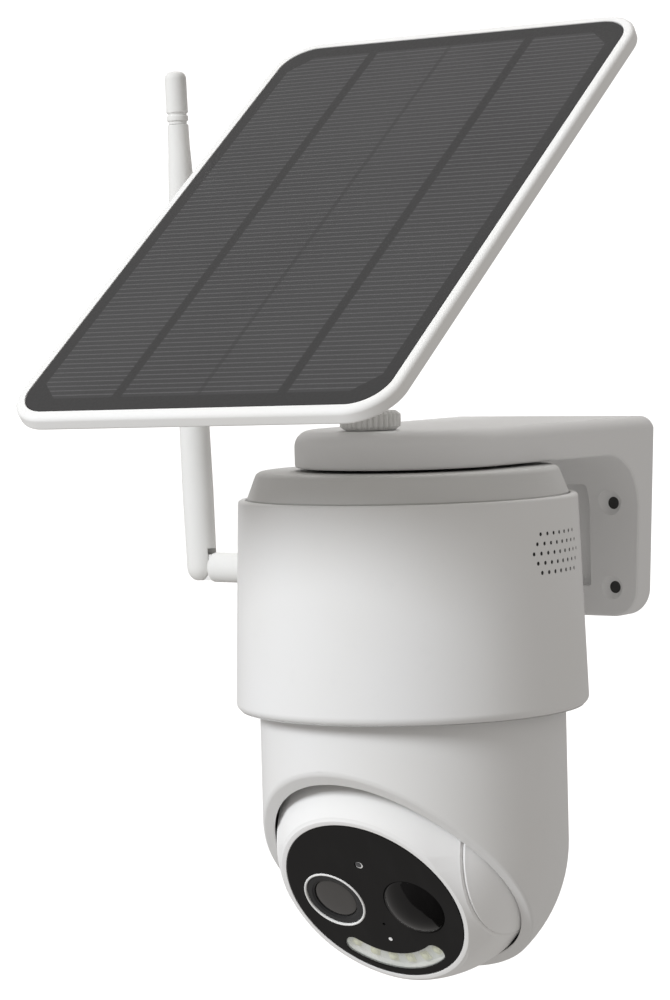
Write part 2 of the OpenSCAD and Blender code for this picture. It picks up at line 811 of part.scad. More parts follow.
module between_seams() {
  intersection() {
    children();
    cube([2 * seam_x - 0.1, 120, 120], center = true);
  }
}

module ball_front() {
  color(white) head_place() between_seams() turned_forward() difference() {
    union() {
      wall_section();
      translate([face_r - 2, face_offset - face_t - 2]) square([4, 1.9]);
      translate([face_r, face_offset - face_t - 1]) square([1.5, 3]);
    }
    translate([-1, face_offset]) square([60, 40]);
    translate([-1, -60]) square([60, 60 - ball_split_y]);
    translate([-1, face_offset - face_t - 0.1]) square([face_r + 1, 10]);
  }
}

module ball_rear() {
  color(white) head_place() between_seams() turned_forward() difference() {
    union() {
      wall_section();
      translate([0, -ball_rear_y]) square([42.5, 2]);
    }
    translate([-1, -ball_split_y - 0.1]) square([60, 60]);
    translate([-1, -ball_rear_y - 60]) square([60, 60]);
    square([5, 60], center = true);
  }
}

// Half section of the round cover over one end of the tilt axis
module side_cap() {
  difference() {
    union() {
      wall_section();
      translate([0, seam_x]) square([27.2, 1.6]);
      translate([0, seam_x - 4]) square([7.5, 12.5]);
    }
    translate([7.5, -60]) square([60, 60 + seam_x + 0.05]);
    translate([-1, -60]) square([60, 60 + seam_x - 4]);
    translate([-1, -60]) square([1 + tilt_pin_r + run, 120]);
  }
}

module side_cap_left() {
  color(white) head_place() rotate([0, -90, 0]) rotate_extrude() side_cap();
}

module side_cap_right() {
  color(white) head_place() rotate([0, 90, 0]) rotate_extrude() side_cap();
}

// Kidney-shaped outline of the lamp strip, with round ends
module strip_outline(half) {
  from = -90 - strip_span;
  to = -90 + strip_span;
  polygon(concat(
    arc([0, 0], strip_r + half, from, to, 20),
    arc([strip_r * cos(to), strip_r * sin(to)], half, to, to + 180, 10),
    arc([0, 0], strip_r - half, to, from, 20),
    arc([strip_r * cos(from), strip_r * sin(from)], half, from + 180, from + 360, 10)
  ));
}

// Turns a face drawing, x across and y up, into a slab from y0 to y1 along Y
module face_slab(y0, y1) {
  translate([0, y1, 0]) rotate([90, 0, 0]) linear_extrude(y1 - y0) children();
}

module at_face(p) {
  translate([p[0], 0, p[1]]) children();
}

module face_plate() {
  color(black) head_place() face_slab(-face_offset, -face_offset + face_t) difference() {
    circle(r = face_r - 0.1);
    translate(lens_at) circle(r = lens_ring_r + 0.05);
    translate(pir_at) circle(r = pir_r + 0.05);
    translate(sensor_at) circle(r = sensor_r + 0.05, $fn = fine);
    translate(mic_at) circle(r = 0.5, $fn = 24);
    translate(status_at) circle(r = 0.8, $fn = 24);
    strip_outline(strip_half + 0.05);
  }
}

module lens_ring() {
  color(white) head_place() at_face(lens_at) difference() {
    rod_y(lens_ring_r, -face_offset - 0.3, -face_offset + face_t, 96);
    rod_y(lens_ring_r - 0.9, -40, -20, 96);
  }
}

module lens_barrel() {
  r = lens_ring_r - 0.95;
  color(black) head_place() at_face(lens_at) difference() {
    union() {
      rod_y(r, -face_offset + 0.1, -face_offset + face_t, 96);
      rod_y(9, -face_offset + face_t - 0.01, -16);
    }
    rod_y(8.05, -40, -face_offset + 1.9);
    rod_y(6.5, -40, -15);
  }
}

module lens_window() {
  color([0.35, 0.34, 0.34]) head_place() at_face(lens_at) rod_y(8, -face_offset + 0.6, -face_offset + 1.85);
}

module sensor_board() {
  color("darkgreen") head_place() at_face(lens_at) {
    translate([-9, -15.9, -9]) cube([18, 1.6, 18]);
    translate([-4, -17.3, -4]) cube([8, 1.5, 8]);
  }
}

// Shallow dome of the motion sensor
module pir_lens() {
  big_r = (pir_r * pir_r + pir_h * pir_h) / 2 / pir_h;
  color(black) head_place() at_face(pir_at) difference() {
    union() {
      intersection() {
        translate([0, -face_offset - pir_h + big_r, 0]) sphere(r = big_r);
        rod_y(pir_r, -face_offset - pir_h - 1, -face_offset + 0.01, 96);
      }
      rod_y(pir_r, -face_offset, -face_offset + face_t, 96);
    }
    intersection() {
      translate([0, -face_offset - pir_h + big_r, 0]) sphere(r = big_r - 1.2);
      rod_y(pir_r - 1.2, -60, -20, 96);
    }
  }
}

module pir_sensor() {
  color(steel) head_place() at_face(pir_at) {
    rod_y(4.5, -27, -23);
    rod_y(5, -23.01, -22.2);
    rod_y(1, -22.21, -19, 24);
  }
}

module led_cover() {
  color([0.85, 0.88, 0.84]) head_place() face_slab(-face_offset + 0.1, -face_offset + 1.6) strip_outline(strip_half);
}

module leds() {
  color([0.95, 0.93, 0.75]) head_place() for (i = [0:led_count - 1]) {
    a = -90 + strip_span * (2 * i / (led_count - 1) - 1);
    at_face([strip_r * cos(a), strip_r * sin(a)]) difference() {
      union() {
        rod_y(1.8, -28.6, -27.6, 24);
        translate([0, -28.4, 0]) sphere(r = 1.2, $fn = 32);
      }
      rod_y(3, -27.6, -26, 24);
    }
  }
}

module led_board() {
  color("darkgreen") head_place() face_slab(-27.55, -26.2) strip_outline(3);
}

module light_sensor() {
  color([0.25, 0.25, 0.27]) head_place() at_face(sensor_at) rod_y(sensor_r, -face_offset + 0.2, -28);
}

module status_led() {
  color("white") head_place() at_face(status_at) {
    rod_y(0.75, -face_offset, -face_offset + face_t, 24);
    rod_y(1.3, -face_offset + face_t, -28, 24);
  }
}

// ---- Antenna ----

module antenna_place() {
  translate([-antenna_x, body_y, antenna_z]) rotate([0, -antenna_lean, 0]) children();
}

module antenna_base() {
  shoulder = -antenna_x + blade_r + 0.4;
  color(white) translate([0, body_y, antenna_z]) difference() {
    union() {
      rod_x(stub_r, shoulder, -59.1);
      rod_x(4, -59.2, -45.5);
      translate([-antenna_x, -tongue_t / 2, -4.6]) cube([blade_r + 1, tongue_t, 9.2]);
      translate([-antenna_x, 0, 0]) rod_y(4.6, -tongue_t / 2, tongue_t / 2);
      rod_x(5.6, -48.5, -47);
    }
    translate([-antenna_x, 0, 0]) rod_y(1.3 + run, -10, 10);
  }
}

module antenna_pin() {
  color(steel) antenna_place() rod_y(1.3, -4.4, 4.4);
}

module antenna_sleeve() {
  neck_z = antenna_l - 18.7;
  color(white) antenna_place() difference() {
    union() {
      intersection() {
        sphere(r = blade_r);
        translate([0, 0, -10]) cylinder(r = 10, h = 10.01);
      }
      rotate_extrude() polygon([
        [0, 0], [blade_r, 0], [5.5, 28], [4.8, 124], [4.4, 137], [3.8, neck_z - 9],
        [3.7, neck_z - 4], [3.7, neck_z], [0, neck_z]
      ]);
    }
    translate([-20, -tongue_t / 2 - 0.3, -10]) cube([40, tongue_t + 0.6, 16.6]);
    rod_y(1.3 + run, -4.5, 4.5);
  }
}

module antenna_tip() {
  tip_r = 3.8;
  start = antenna_l - 18.6;
  color(white) antenna_place() rotate_extrude() polygon(concat(
    [[0, start], [3.2, start], [3.2, start + 1], [3.8, start + 1.4], [3.8, start + 3], [3.3, start + 3.4],
      [3.3, start + 4], [3.8, start + 4.4]],
    arc([tip_r - 2.6, antenna_l - 2.6], 2.6, 0, 90),
    [[0, antenna_l]]
  ));
}

wall_bracket();
hub_screws();
hub_nuts();
hub_seal();
top_cap();
upper_shell();
speaker();
main_board();
battery_tray();
battery_cells();
base_plate();
base_screws();
pan_bush();
pan_seal();
pan_motor();
usb_socket();
port_cover();
power_button();
clamp_knob();
ball_post();
post_nut();
ball_seat();
panel_socket();
socket_ring();
socket_screws();
panel_tray();
solar_glass();
solar_cells();
panel_gland();
pan_housing();
pan_deck();
deck_screws();
pan_gear();
pan_pinion();
tilt_pins();
tilt_gear();
tilt_pinion();
tilt_motor();
head_frame();
ball_front();
ball_rear();
side_cap_left();
side_cap_right();
face_plate();
lens_ring();
lens_barrel();
lens_window();
sensor_board();
pir_lens();
pir_sensor();
led_cover();
leds();
led_board();
light_sensor();
status_led();
antenna_base();
antenna_pin();
antenna_sleeve();
antenna_tip();
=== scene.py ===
import json
from math import acos, asin, atan2, ceil, cos, degrees, hypot, pi, radians, sin, sqrt, tan

import bmesh
import bpy
from mathutils import Matrix, Vector


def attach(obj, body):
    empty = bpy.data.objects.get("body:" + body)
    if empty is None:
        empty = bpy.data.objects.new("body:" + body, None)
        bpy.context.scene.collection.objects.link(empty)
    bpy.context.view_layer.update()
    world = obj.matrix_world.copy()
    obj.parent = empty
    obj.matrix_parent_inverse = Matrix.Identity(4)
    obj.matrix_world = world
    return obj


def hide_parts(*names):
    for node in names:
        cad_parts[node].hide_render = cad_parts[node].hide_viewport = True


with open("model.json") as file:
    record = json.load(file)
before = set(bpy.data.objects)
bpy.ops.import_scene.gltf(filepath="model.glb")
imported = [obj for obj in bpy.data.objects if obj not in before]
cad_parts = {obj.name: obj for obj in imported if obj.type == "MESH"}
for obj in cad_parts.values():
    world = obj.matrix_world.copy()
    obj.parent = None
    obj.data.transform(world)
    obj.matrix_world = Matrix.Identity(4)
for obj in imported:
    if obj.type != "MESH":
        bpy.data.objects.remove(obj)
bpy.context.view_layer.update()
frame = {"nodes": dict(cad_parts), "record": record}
nodes = frame["nodes"]
MM = 0.001
link = bpy.context.scene.collection.objects.link

# ---- Camera ----

AZIMUTH, PITCH, ROLL = radians(34.7), radians(3.3), radians(-1.49)
CAMERA_AT = Vector((627.31, -1043.29, 87.35)) * MM
ahead = Vector((-sin(AZIMUTH) * cos(PITCH), cos(AZIMUTH) * cos(PITCH), -sin(PITCH)))
level_right = Vector((cos(AZIMUTH), sin(AZIMUTH), 0))
level_up = level_right.cross(ahead)
right = level_right * cos(ROLL) + level_up * sin(ROLL)
up = level_up * cos(ROLL) - level_right * sin(ROLL)
camera_data = bpy.data.cameras.new("photo_camera")
camera_data.sensor_fit = "VERTICAL"
camera_data.sensor_height = 36
camera_data.lens = 120.96
camera_data.clip_start = 0.05
camera_data.clip_end = 200
camera = bpy.data.objects.new("photo_camera", camera_data)
link(camera)
camera.matrix_world = Matrix.Translation(CAMERA_AT) @ Matrix((right, up, -ahead)).transposed().to_4x4()
bpy.context.scene.camera = camera
bpy.context.scene.view_settings.view_transform = "Standard"

# ---- Light and stage ----


def area_light(name, direction, distance, size, power, colour=(1, 1, 1)):
    data = bpy.data.lights.new(name, "AREA")
    data.shape = "DISK"
    data.size = size
    data.energy = power
    data.color = colour
    light = bpy.data.objects.new(name, data)
    link(light)
    place = Vector(direction).normalized() * distance
    middle = Vector((0, -0.09, 0))
    aim = place.to_track_quat("Z", "Y").to_matrix().to_4x4()
    light.matrix_world = Matrix.Translation(middle + place) @ aim
    light.visible_glossy = False
    return light


area_light("key", (-0.30, -0.954, 0.52), 2.4, 0.9, 41, (0.975, 1, 1.03))
area_light("back", (-0.3, 0.6, 0.9), 2.0, 0.8, 15, (1, 0.99, 0.98))
world = bpy.data.worlds.new("studio")
bpy.context.scene.world = world
world.use_nodes = True
world.node_tree.nodes["Background"].inputs["Color"].default_value = (1, 0.97, 0.938, 1)
world.node_tree.nodes["Background"].inputs["Strength"].default_value = 0.455


def stage_card(name, verts, faces, colour, glow, reflected):
    """A stage piece: part of the pale surroundings, a card that only shows in polished surfaces, or a dark
    disc of painted shade.
    """
    mesh = bpy.data.meshes.new(name)
    mesh.from_pydata(verts, [], faces)
    obj = bpy.data.objects.new(name, mesh)
    link(obj)
    material = bpy.data.materials.new(name)
    material.use_nodes = True
    shader = material.node_tree.nodes["Principled BSDF"]
    shader.inputs["Base Color"].default_value = (colour, colour, colour, 1)
    shader.inputs["Emission Color"].default_value = (1, 1, 1, 1)
    shader.inputs["Emission Strength"].default_value = glow
    mesh.materials.append(material)
    obj.visible_diffuse = False
    obj.visible_glossy = reflected
    obj.visible_camera = not reflected
    obj.visible_transmission = False
    obj.visible_shadow = False


FAR, LOW, SIDES = 16, -1.2, 48
corners = [(-FAR, -FAR, LOW), (FAR, -FAR, LOW), (FAR, FAR, LOW), (-FAR, FAR, LOW)]
stage_card("floor", corners, [(0, 1, 2, 3)], 0.9, 0.8, False)
ring = [(FAR * cos(2 * pi * k / SIDES), FAR * sin(2 * pi * k / SIDES)) for k in range(SIDES)]
wall = [(k, (k + 1) % SIDES, SIDES + (k + 1) % SIDES, SIDES + k) for k in range(SIDES)]
roof = [(SIDES + k, SIDES + (k + 1) % SIDES, 2 * SIDES) for k in range(SIDES)]
stage_card("backdrop", [(x, y, LOW) for x, y in ring] + [(x, y, 12) for x, y in ring] + [(0, 0, 20)],
           wall + roof, 0.9, 0.8, False)
# the dark end of the studio, which the motion sensor's dome mirrors
standing = [(-3.4, -4, 4), (-3.4, -4, 0.1), (-2.2, -4, -1.3), (-1.3, -4, -3), (9, -4, -3), (9, -4, 4)]
lying = [(0.05, -2, -3), (0.3, -0.4, -3), (0, 0.5, -3), (-0.8, 2.2, -3), (9, 2.2, -3)]
stage_card("dark_end", standing + lying, [(0, 1, 2, 3, 4, 5), (3, 6, 7, 8, 9, 10, 4)], 0.004, 0, True)

# ---- Materials ----


class Look:
    """A Principled material whose texture nodes work in the piece's own coordinates."""

    def __init__(self, name, colour, rough, **sockets):
        self.material = bpy.data.materials.new(name)
        self.material.use_nodes = True
        self.tree = self.material.node_tree
        self.shader = self.tree.nodes["Principled BSDF"]
        self.shader.inputs["Base Color"].default_value = (*colour[:3], 1)
        self.shader.inputs["Roughness"].default_value = rough
        for socket, value in sockets.items():
            self.shader.inputs[socket.replace("_", " ")].default_value = value
        self.coords = self.node("ShaderNodeTexCoord").outputs["Object"]

    def node(self, kind, **settings):
        node = self.tree.nodes.new(kind)
        for key, value in settings.items():
            setattr(node, key, value)
        return node

    def join(self, out, into):
        self.tree.links.new(out, into)

    def noise(self, scale, detail=2.0, rough=0.5, stretch=None):
        node = self.node("ShaderNodeTexNoise")
        node.inputs["Scale"].default_value = scale
        node.inputs["Detail"].default_value = detail
        node.inputs["Roughness"].default_value = rough
        source = self.coords
        if stretch:
            mapping = self.node("ShaderNodeMapping")
            mapping.inputs["Scale"].default_value = stretch
            self.join(self.coords, mapping.inputs["Vector"])
            source = mapping.outputs["Vector"]
        self.join(source, node.inputs["Vector"])
        return node.outputs["Fac"]

    def ramp(self, value, low, high, to_low, to_high):
        node = self.node("ShaderNodeMapRange", interpolation_type="LINEAR")
        self.join(value, node.inputs["Value"])
        for key, number in (("From Min", low), ("From Max", high), ("To Min", to_low), ("To Max", to_high)):
            node.inputs[key].default_value = number
        return node.outputs["Result"]

    def math(self, operation, a, b=None):
        node = self.node("ShaderNodeMath", operation=operation)
        for i, value in enumerate((a, b)):
            if value is None:
                continue
            if isinstance(value, (int, float)):
                node.inputs[i].default_value = value
            else:
                self.join(value, node.inputs[i])
        return node.outputs["Value"]

    def mix_colour(self, factor, a, b):
        node = self.node("ShaderNodeMix", data_type="RGBA")
        if isinstance(factor, (int, float)):
            node.inputs[0].default_value = factor
        else:
            self.join(factor, node.inputs[0])
        for index, value in ((6, a), (7, b)):
            if isinstance(value, (tuple, list)):
                node.inputs[index].default_value = (*value[:3], 1)
            else:
                self.join(value, node.inputs[index])
        return node.outputs[2]

    def bump(self, height, strength, distance, on_top_of=None):
        node = self.node("ShaderNodeBump")
        node.inputs["Strength"].default_value = strength
        node.inputs["Distance"].default_value = distance
        self.join(height, node.inputs["Height"])
        if on_top_of:
            self.join(on_top_of, node.inputs["Normal"])
        self.join(node.outputs["Normal"], self.shader.inputs["Normal"])
        return node.outputs["Normal"]


def moulded(name, colour, rough=0.42, grain=0.35, tone=0.02):
    """Injection moulded plastic: a fine grain, slow waves of sheen and a trace of colour drift."""
    look = Look(name, colour, rough)
    drift = look.noise(14, 3)
    dust = look.noise(160, 4, 0.7)
    darker = tuple(c * (1 - tone) * k for c, k in zip(colour, (0.995, 0.99, 0.975)))
    worn = tuple(c * (1 - 2.5 * tone) for c in colour[:3])
    base = look.mix_colour(look.ramp(drift, 0.35, 0.7, 0, 1), tuple(colour[:3]), darker)
    base = look.mix_colour(look.ramp(dust, 0.58, 0.8, 0, 0.5), base, worn)
    look.join(base, look.shader.inputs["Base Color"])
    slow = look.ramp(drift, 0.3, 0.7, rough - 0.03, rough + 0.04)
    sheen = look.math("ADD", slow, look.ramp(dust, 0.3, 0.8, 0, 0.05))
    look.join(sheen, look.shader.inputs["Roughness"])
    grains = look.noise(2400, 2, 0.6)
    waves = look.bump(look.noise(60, 1), 0.12, 0.00008)
    look.bump(grains, grain, 0.00003, waves)
    return look


def polished(name, colour, rough, coat=0.0, smudge=0.05, **sockets):
    """Polished plastic or lacquer, with faint wiping marks in the gloss."""
    look = Look(name, colour, rough, **sockets)
    if coat:
        look.shader.inputs["Coat Weight"].default_value = coat
        look.shader.inputs["Coat Roughness"].default_value = 0.04
    marks = look.noise(90, 4, 0.65, (1, 0.35, 1))
    look.join(look.ramp(marks, 0.4, 0.75, rough, rough + smudge), look.shader.inputs["Roughness"])
    tint = tuple(min(1, c * 1.25 + 0.002) for c in colour[:3])
    look.join(look.mix_colour(look.ramp(marks, 0.45, 0.8, 0, 1), tuple(colour[:3]), tint),
              look.shader.inputs["Base Color"])
    look.bump(look.noise(35, 1), 0.05, 0.00005)
    return look


def metal(name, colour, rough, stretch=(1, 1, 40)):
    """Zinc plated or turned steel with fine tool lines."""
    look = Look(name, colour, rough, Metallic=1.0)
    lines = look.noise(500, 3, 0.6, stretch)
    look.join(look.ramp(lines, 0.3, 0.7, rough - 0.08, rough + 0.12), look.shader.inputs["Roughness"])
    look.join(look.mix_colour(look.noise(80, 3), tuple(c * 0.85 for c in colour[:3]), tuple(colour[:3])),
              look.shader.inputs["Base Color"])
    look.bump(lines, 0.2, 0.00002)
    return look


def rubber(name, colour):
    look = Look(name, colour, 0.75, Specular_IOR_Level=0.35)
    look.join(look.ramp(look.noise(200, 4), 0.3, 0.7, 0.66, 0.86), look.shader.inputs["Roughness"])
    look.join(look.mix_colour(look.noise(60, 4), tuple(c * 0.85 for c in colour[:3]), tuple(colour[:3])),
              look.shader.inputs["Base Color"])
    look.bump(look.noise(1800, 2), 0.4, 0.00005)
    return look


def board(name):
    """Solder mask over copper tracks."""
    look = Look(name, (0.02, 0.13, 0.06), 0.35)
    cells = look.node("ShaderNodeTexVoronoi", feature="DISTANCE_TO_EDGE")
    cells.inputs["Scale"].default_value = 260
    look.join(look.coords, cells.inputs["Vector"])
    track = look.ramp(cells.outputs["Distance"], 0.02, 0.06, 1, 0)
    copper = look.mix_colour(track, (0.015, 0.12, 0.055), (0.04, 0.24, 0.11))
    look.join(copper, look.shader.inputs["Base Color"])
    look.bump(track, 0.3, 0.00005)
    return look


WHITE = (0.80, 0.80, 0.80)
GREY = (0.60, 0.60, 0.595)
looks = {
    "shell_white": moulded("shell_white", WHITE, 0.40),
    "housing_white": moulded("housing_white", WHITE, 0.38),
    "ball_white": moulded("ball_white", (0.90, 0.90, 0.90), 0.30, 0.15),
    "antenna_white": moulded("antenna_white", (0.80, 0.80, 0.79), 0.42),
    "panel_white": moulded("panel_white", (0.86, 0.86, 0.855), 0.36, 0.25),
    "bracket_grey": moulded("bracket_grey", GREY, 0.45),
    "cap_grey": moulded("cap_grey", (0.66, 0.66, 0.655), 0.46),
    "knob_grey": moulded("knob_grey", (0.74, 0.74, 0.73), 0.48),
    "inner_grey": moulded("inner_grey", (0.55, 0.55, 0.54), 0.5),
    "nylon": moulded("nylon", (0.78, 0.74, 0.62), 0.45),
    "inner_black": moulded("inner_black", (0.025, 0.025, 0.026), 0.5),
    "post_grey": metal("post_grey", (0.62, 0.62, 0.61), 0.35),
    "steel": metal("steel", (0.62, 0.62, 0.63), 0.28),
    "rubber_black": rubber("rubber_black", (0.02, 0.02, 0.02)),
    "rubber_grey": rubber("rubber_grey", (0.56, 0.56, 0.55)),
    "circuit_board": board("circuit_board"),
    "cell_sleeve": polished("cell_sleeve", (0.05, 0.16, 0.36), 0.3),
    "face_black": polished("face_black", (0.0075, 0.007, 0.007), 0.06, 0.0, 0.05, Specular_IOR_Level=0.17),
    "pir_black": polished("pir_black", (0.0075, 0.007, 0.007), 0.06, 0.0, 0.04, Specular_IOR_Level=0.24),
    "ring_white": polished("ring_white", (0.88, 0.88, 0.87), 0.18, 0.3),
    "lens_grey": polished("lens_grey", (0.045, 0.042, 0.040), 0.12, 0.35, 0.05),
    "sensor_grey": polished("sensor_grey", (0.05, 0.05, 0.055), 0.15, 0.3),
    "status_white": polished("status_white", (0.95, 0.95, 0.95), 0.2, 0.2),
    "led_phosphor": polished("led_phosphor", (0.86, 0.84, 0.60), 0.25, 0.5),
    "led_clear": polished("led_clear", (0.78, 0.82, 0.78), 0.08, 0.0, 0.08, Alpha=0.22),
}


def solar_look():
    """Laminated cells: four strips, fine finger lines across them, dark gaps and a textured clear sheet."""
    look = Look("panel_glass", (0.03, 0.03, 0.03), 0.35)
    parts = look.node("ShaderNodeSeparateXYZ")
    look.join(look.coords, parts.inputs["Vector"])
    x, y = parts.outputs["X"], parts.outputs["Y"]
    half_w, half_l, cut = 64.2 * MM, 97.6 * MM, 8 * MM
    ax, ay = look.math("ABSOLUTE", x), look.math("ABSOLUTE", y)
    # strips: centre line at 0, wide gaps at a quarter of the width
    gap = look.math("ABSOLUTE", look.math("SUBTRACT", ax, 31.6 * MM))
    in_gap = look.ramp(gap, 1.6 * MM, 2.2 * MM, 1, 0)
    in_line = look.ramp(ax, 0.5 * MM, 1.1 * MM, 0.55, 0)
    outside = look.math("MAXIMUM", look.ramp(ax, half_w - 0.1 * MM, half_w + 0.1 * MM, 0, 1),
                        look.ramp(ay, half_l - 0.1 * MM, half_l + 0.1 * MM, 0, 1))
    cut_from = half_w + half_l - cut
    corner = look.ramp(look.math("ADD", ax, ay), cut_from, cut_from + 0.2 * MM, 0, 1)
    dark = look.math("MAXIMUM", look.math("MAXIMUM", in_gap, in_line), look.math("MAXIMUM", outside, corner))
    fingers = look.math("FRACT", look.math("MULTIPLY", y, 1 / (2.37 * MM)))
    finger = look.ramp(look.math("ABSOLUTE", look.math("SUBTRACT", fingers, 0.5)), 0.06, 0.14, 1, 0)
    grainy = look.noise(900, 3, 0.6)
    cloudy = look.noise(18, 2)
    cell = look.mix_colour(look.ramp(cloudy, 0.3, 0.7, 0, 1), (0.038, 0.038, 0.040), (0.046, 0.046, 0.048))
    silver = look.math("MULTIPLY", finger, look.ramp(grainy, 0.3, 0.7, 0.4, 0.8))
    cell = look.mix_colour(silver, cell, (0.125, 0.125, 0.127))
    base = look.mix_colour(dark, cell, (0.028, 0.028, 0.029))
    look.join(base, look.shader.inputs["Base Color"])
    look.join(look.ramp(grainy, 0.3, 0.7, 0.30, 0.42), look.shader.inputs["Roughness"])
    look.bump(look.noise(1400, 2), 0.25, 0.00004)
    return look


looks["panel_glass"] = solar_look()
looks["solar_cell"] = polished("solar_cell", (0.03, 0.03, 0.035), 0.2)

slot_of = {s["node"]: s["material_slot"] for s in frame["record"]["subparts"]}
for name, obj in nodes.items():
    obj.data.materials.clear()
    obj.data.materials.append(looks[slot_of[name]].material)

# ---- Mesh tools ----


def arc(cx, cy, r, start, end, steps):
    """Points on an arc, angles in degrees."""
    return [(cx + r * cos(radians(start + (end - start) * i / steps)),
             cy + r * sin(radians(start + (end - start) * i / steps))) for i in range(steps + 1)]


def rounded(corners, step=10):
    """Outline through (x, y, radius) corners, with each corner rounded."""
    out, n = [], len(corners)
    for i, (x, y, r) in enumerate(corners):
        if not r:
            out.append((x, y))
            continue
        p, q, s = Vector((x, y)), Vector(corners[i - 1][:2]), Vector(corners[(i + 1) % n][:2])
        a, b = (q - p).normalized(), (s - p).normalized()
        half = a.angle(b) / 2
        middle = p + (a + b).normalized() * (r / sin(half))
        start, end = p + a * (r / tan(half)) - middle, p + b * (r / tan(half)) - middle
        turn = start.angle_signed(end)
        steps = max(2, ceil(abs(degrees(turn)) / step))
        for k in range(steps + 1):
            t = -turn * k / steps
            along = middle.x + start.x * cos(t) - start.y * sin(t)
            out.append((along, middle.y + start.x * sin(t) + start.y * cos(t)))
    return out


def shade(obj, sharp=32, weighted=True):
    """Smooth shading with edges kept sharp above an angle."""
    bm = bmesh.new()
    bm.from_mesh(obj.data)
    bmesh.ops.recalc_face_normals(bm, faces=bm.faces)
    for face in bm.faces:
        face.smooth = True
    for edge in bm.edges:
        edge.smooth = len(edge.link_faces) == 2 and edge.calc_face_angle(0) < radians(sharp)
    bm.to_mesh(obj.data)
    bm.free()
    if weighted:
        modifier = obj.modifiers.new("normals", "WEIGHTED_NORMAL")
        modifier.keep_sharp = True
        modifier.weight = 60
    return obj


def make(name, verts, faces, place=None, look=None, sharp=32, keep=True):
    """A mesh object from millimetre points; keep=False makes a tool for boolean work."""
    mesh = bpy.data.meshes.new(name)
    mesh.from_pydata([Vector(v) * MM for v in verts], [], faces)
    obj = bpy.data.objects.new(name, mesh)
    link(obj)
    if place is not None:
        obj.matrix_world = place
    if look:
        mesh.materials.append(looks[look].material)
    if keep:
        shade(obj, sharp)
    else:
        bm = bmesh.new()
        bm.from_mesh(mesh)
        bmesh.ops.recalc_face_normals(bm, faces=bm.faces)
        bm.to_mesh(mesh)
        bm.free()
    return obj


def lathe_mesh(profile, segments=160, wobble=None):
    """Vertices and faces of a closed (r, z) outline turned about Z."""
    verts, rings = [], []
    for r, z in profile:
        if r < 1e-6:
            rings.append([len(verts)] * segments)
            verts.append((0, 0, z))
            continue
        rings.append(list(range(len(verts), len(verts) + segments)))
        for k in range(segments):
            a = 2 * pi * k / segments
            rr = r + (wobble(a, r, z) if wobble else 0)
            verts.append((rr * cos(a), rr * sin(a), z))
    faces = []
    for i, lower in enumerate(rings):
        upper = rings[(i + 1) % len(rings)]
        if lower[0] == lower[1] and upper[0] == upper[1]:
            continue
        for k in range(segments):
            m = (k + 1) % segments
            faces.append(tuple(dict.fromkeys((lower[k], lower[m], upper[m], upper[k]))))
    return verts, faces


def lathe(name, profile, place=None, look=None, segments=160, wobble=None, sharp=32, keep=True):
    return make(name, *lathe_mesh(profile, segments, wobble), place, look, sharp, keep)


def stack_mesh(rings):
    """Vertices and faces of a closed skin through equal rings of points, capped at both ends."""
    n = len(rings[0])
    verts = [p for ring in rings for p in ring]
    faces = [(i * n + k, i * n + (k + 1) % n, (i + 1) * n + (k + 1) % n, (i + 1) * n + k)
             for i in range(len(rings) - 1) for k in range(n)]
    faces.append(tuple(range(n))[::-1])
    faces.append(tuple((len(rings) - 1) * n + k for k in range(n)))
    return verts, faces


def boolean(obj, tools, operation="DIFFERENCE"):
    """Cuts obj with each tool, in obj's place, and removes the tools."""
    for tool in tools if isinstance(tools, (list, tuple)) else [tools]:
        modifier = obj.modifiers.new("cut", "BOOLEAN")
        modifier.operation = operation
        modifier.solver = "MANIFOLD"
        modifier.object = tool
    bpy.context.view_layer.update()
    graph = bpy.context.evaluated_depsgraph_get()
    mesh = bpy.data.meshes.new_from_object(obj.evaluated_get(graph))
    old = obj.data
    obj.modifiers.clear()
    obj.data = mesh
    bpy.data.meshes.remove(old)
    for tool in tools if isinstance(tools, (list, tuple)) else [tools]:
        bpy.data.objects.remove(tool)
    return obj


def joined(objects):
    """One tool from several disjoint ones."""
    verts, faces = [], []
    for o in objects:
        start = len(verts)
        verts += [o.matrix_world @ v.co for v in o.data.vertices]
        faces += [tuple(start + v for v in p.vertices) for p in o.data.polygons]
        bpy.data.objects.remove(o)
    return make("tools", [v / MM for v in verts], faces, keep=False)


def tool_cylinder(r, z0, z1, place, segments=48):
    return lathe("tool", [(0, z0), (r, z0), (r, z1), (0, z1)], place, segments=segments, keep=False)


def tool_box(low, high, place=Matrix.Identity(4)):
    verts = [(x, y, z) for x in (low[0], high[0]) for y in (low[1], high[1]) for z in (low[2], high[2])]
    faces = [(0, 1, 3, 2), (4, 6, 7, 5), (0, 4, 5, 1), (2, 3, 7, 6), (0, 2, 6, 4), (1, 5, 7, 3)]
    return make("tool", verts, faces, place, keep=False)


def put(obj, body, *replaced, slot=None):
    """Rides obj on its CAD body and hides the nodes that it stands for."""
    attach(obj, body)
    if replaced:
        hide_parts(*replaced)
    return obj


def at(x, y, z):
    return Matrix.Translation(Vector((x, y, z)) * MM)


def turned(angle, axis):
    return Matrix.Rotation(radians(angle), 4, axis)


# ---- Places ----

BODY = at(0, -94, 0)
HEAD_TILT = 32.8
TILT = at(0, -94, -95)
HEAD = TILT @ turned(HEAD_TILT, "X")
FACE = HEAD @ turned(90, "X")  # local x right, y up, z out of the face
ALONG_X = turned(90, "Y")  # a lathe's axis laid along +X
PANEL = at(0, -115.5, 91.8) @ turned(36.2, "X") @ turned(1.4, "Z")
ANTENNA = at(-88, -94, -3.6) @ turned(-1.9, "Y")


# ---- Solar panel ----


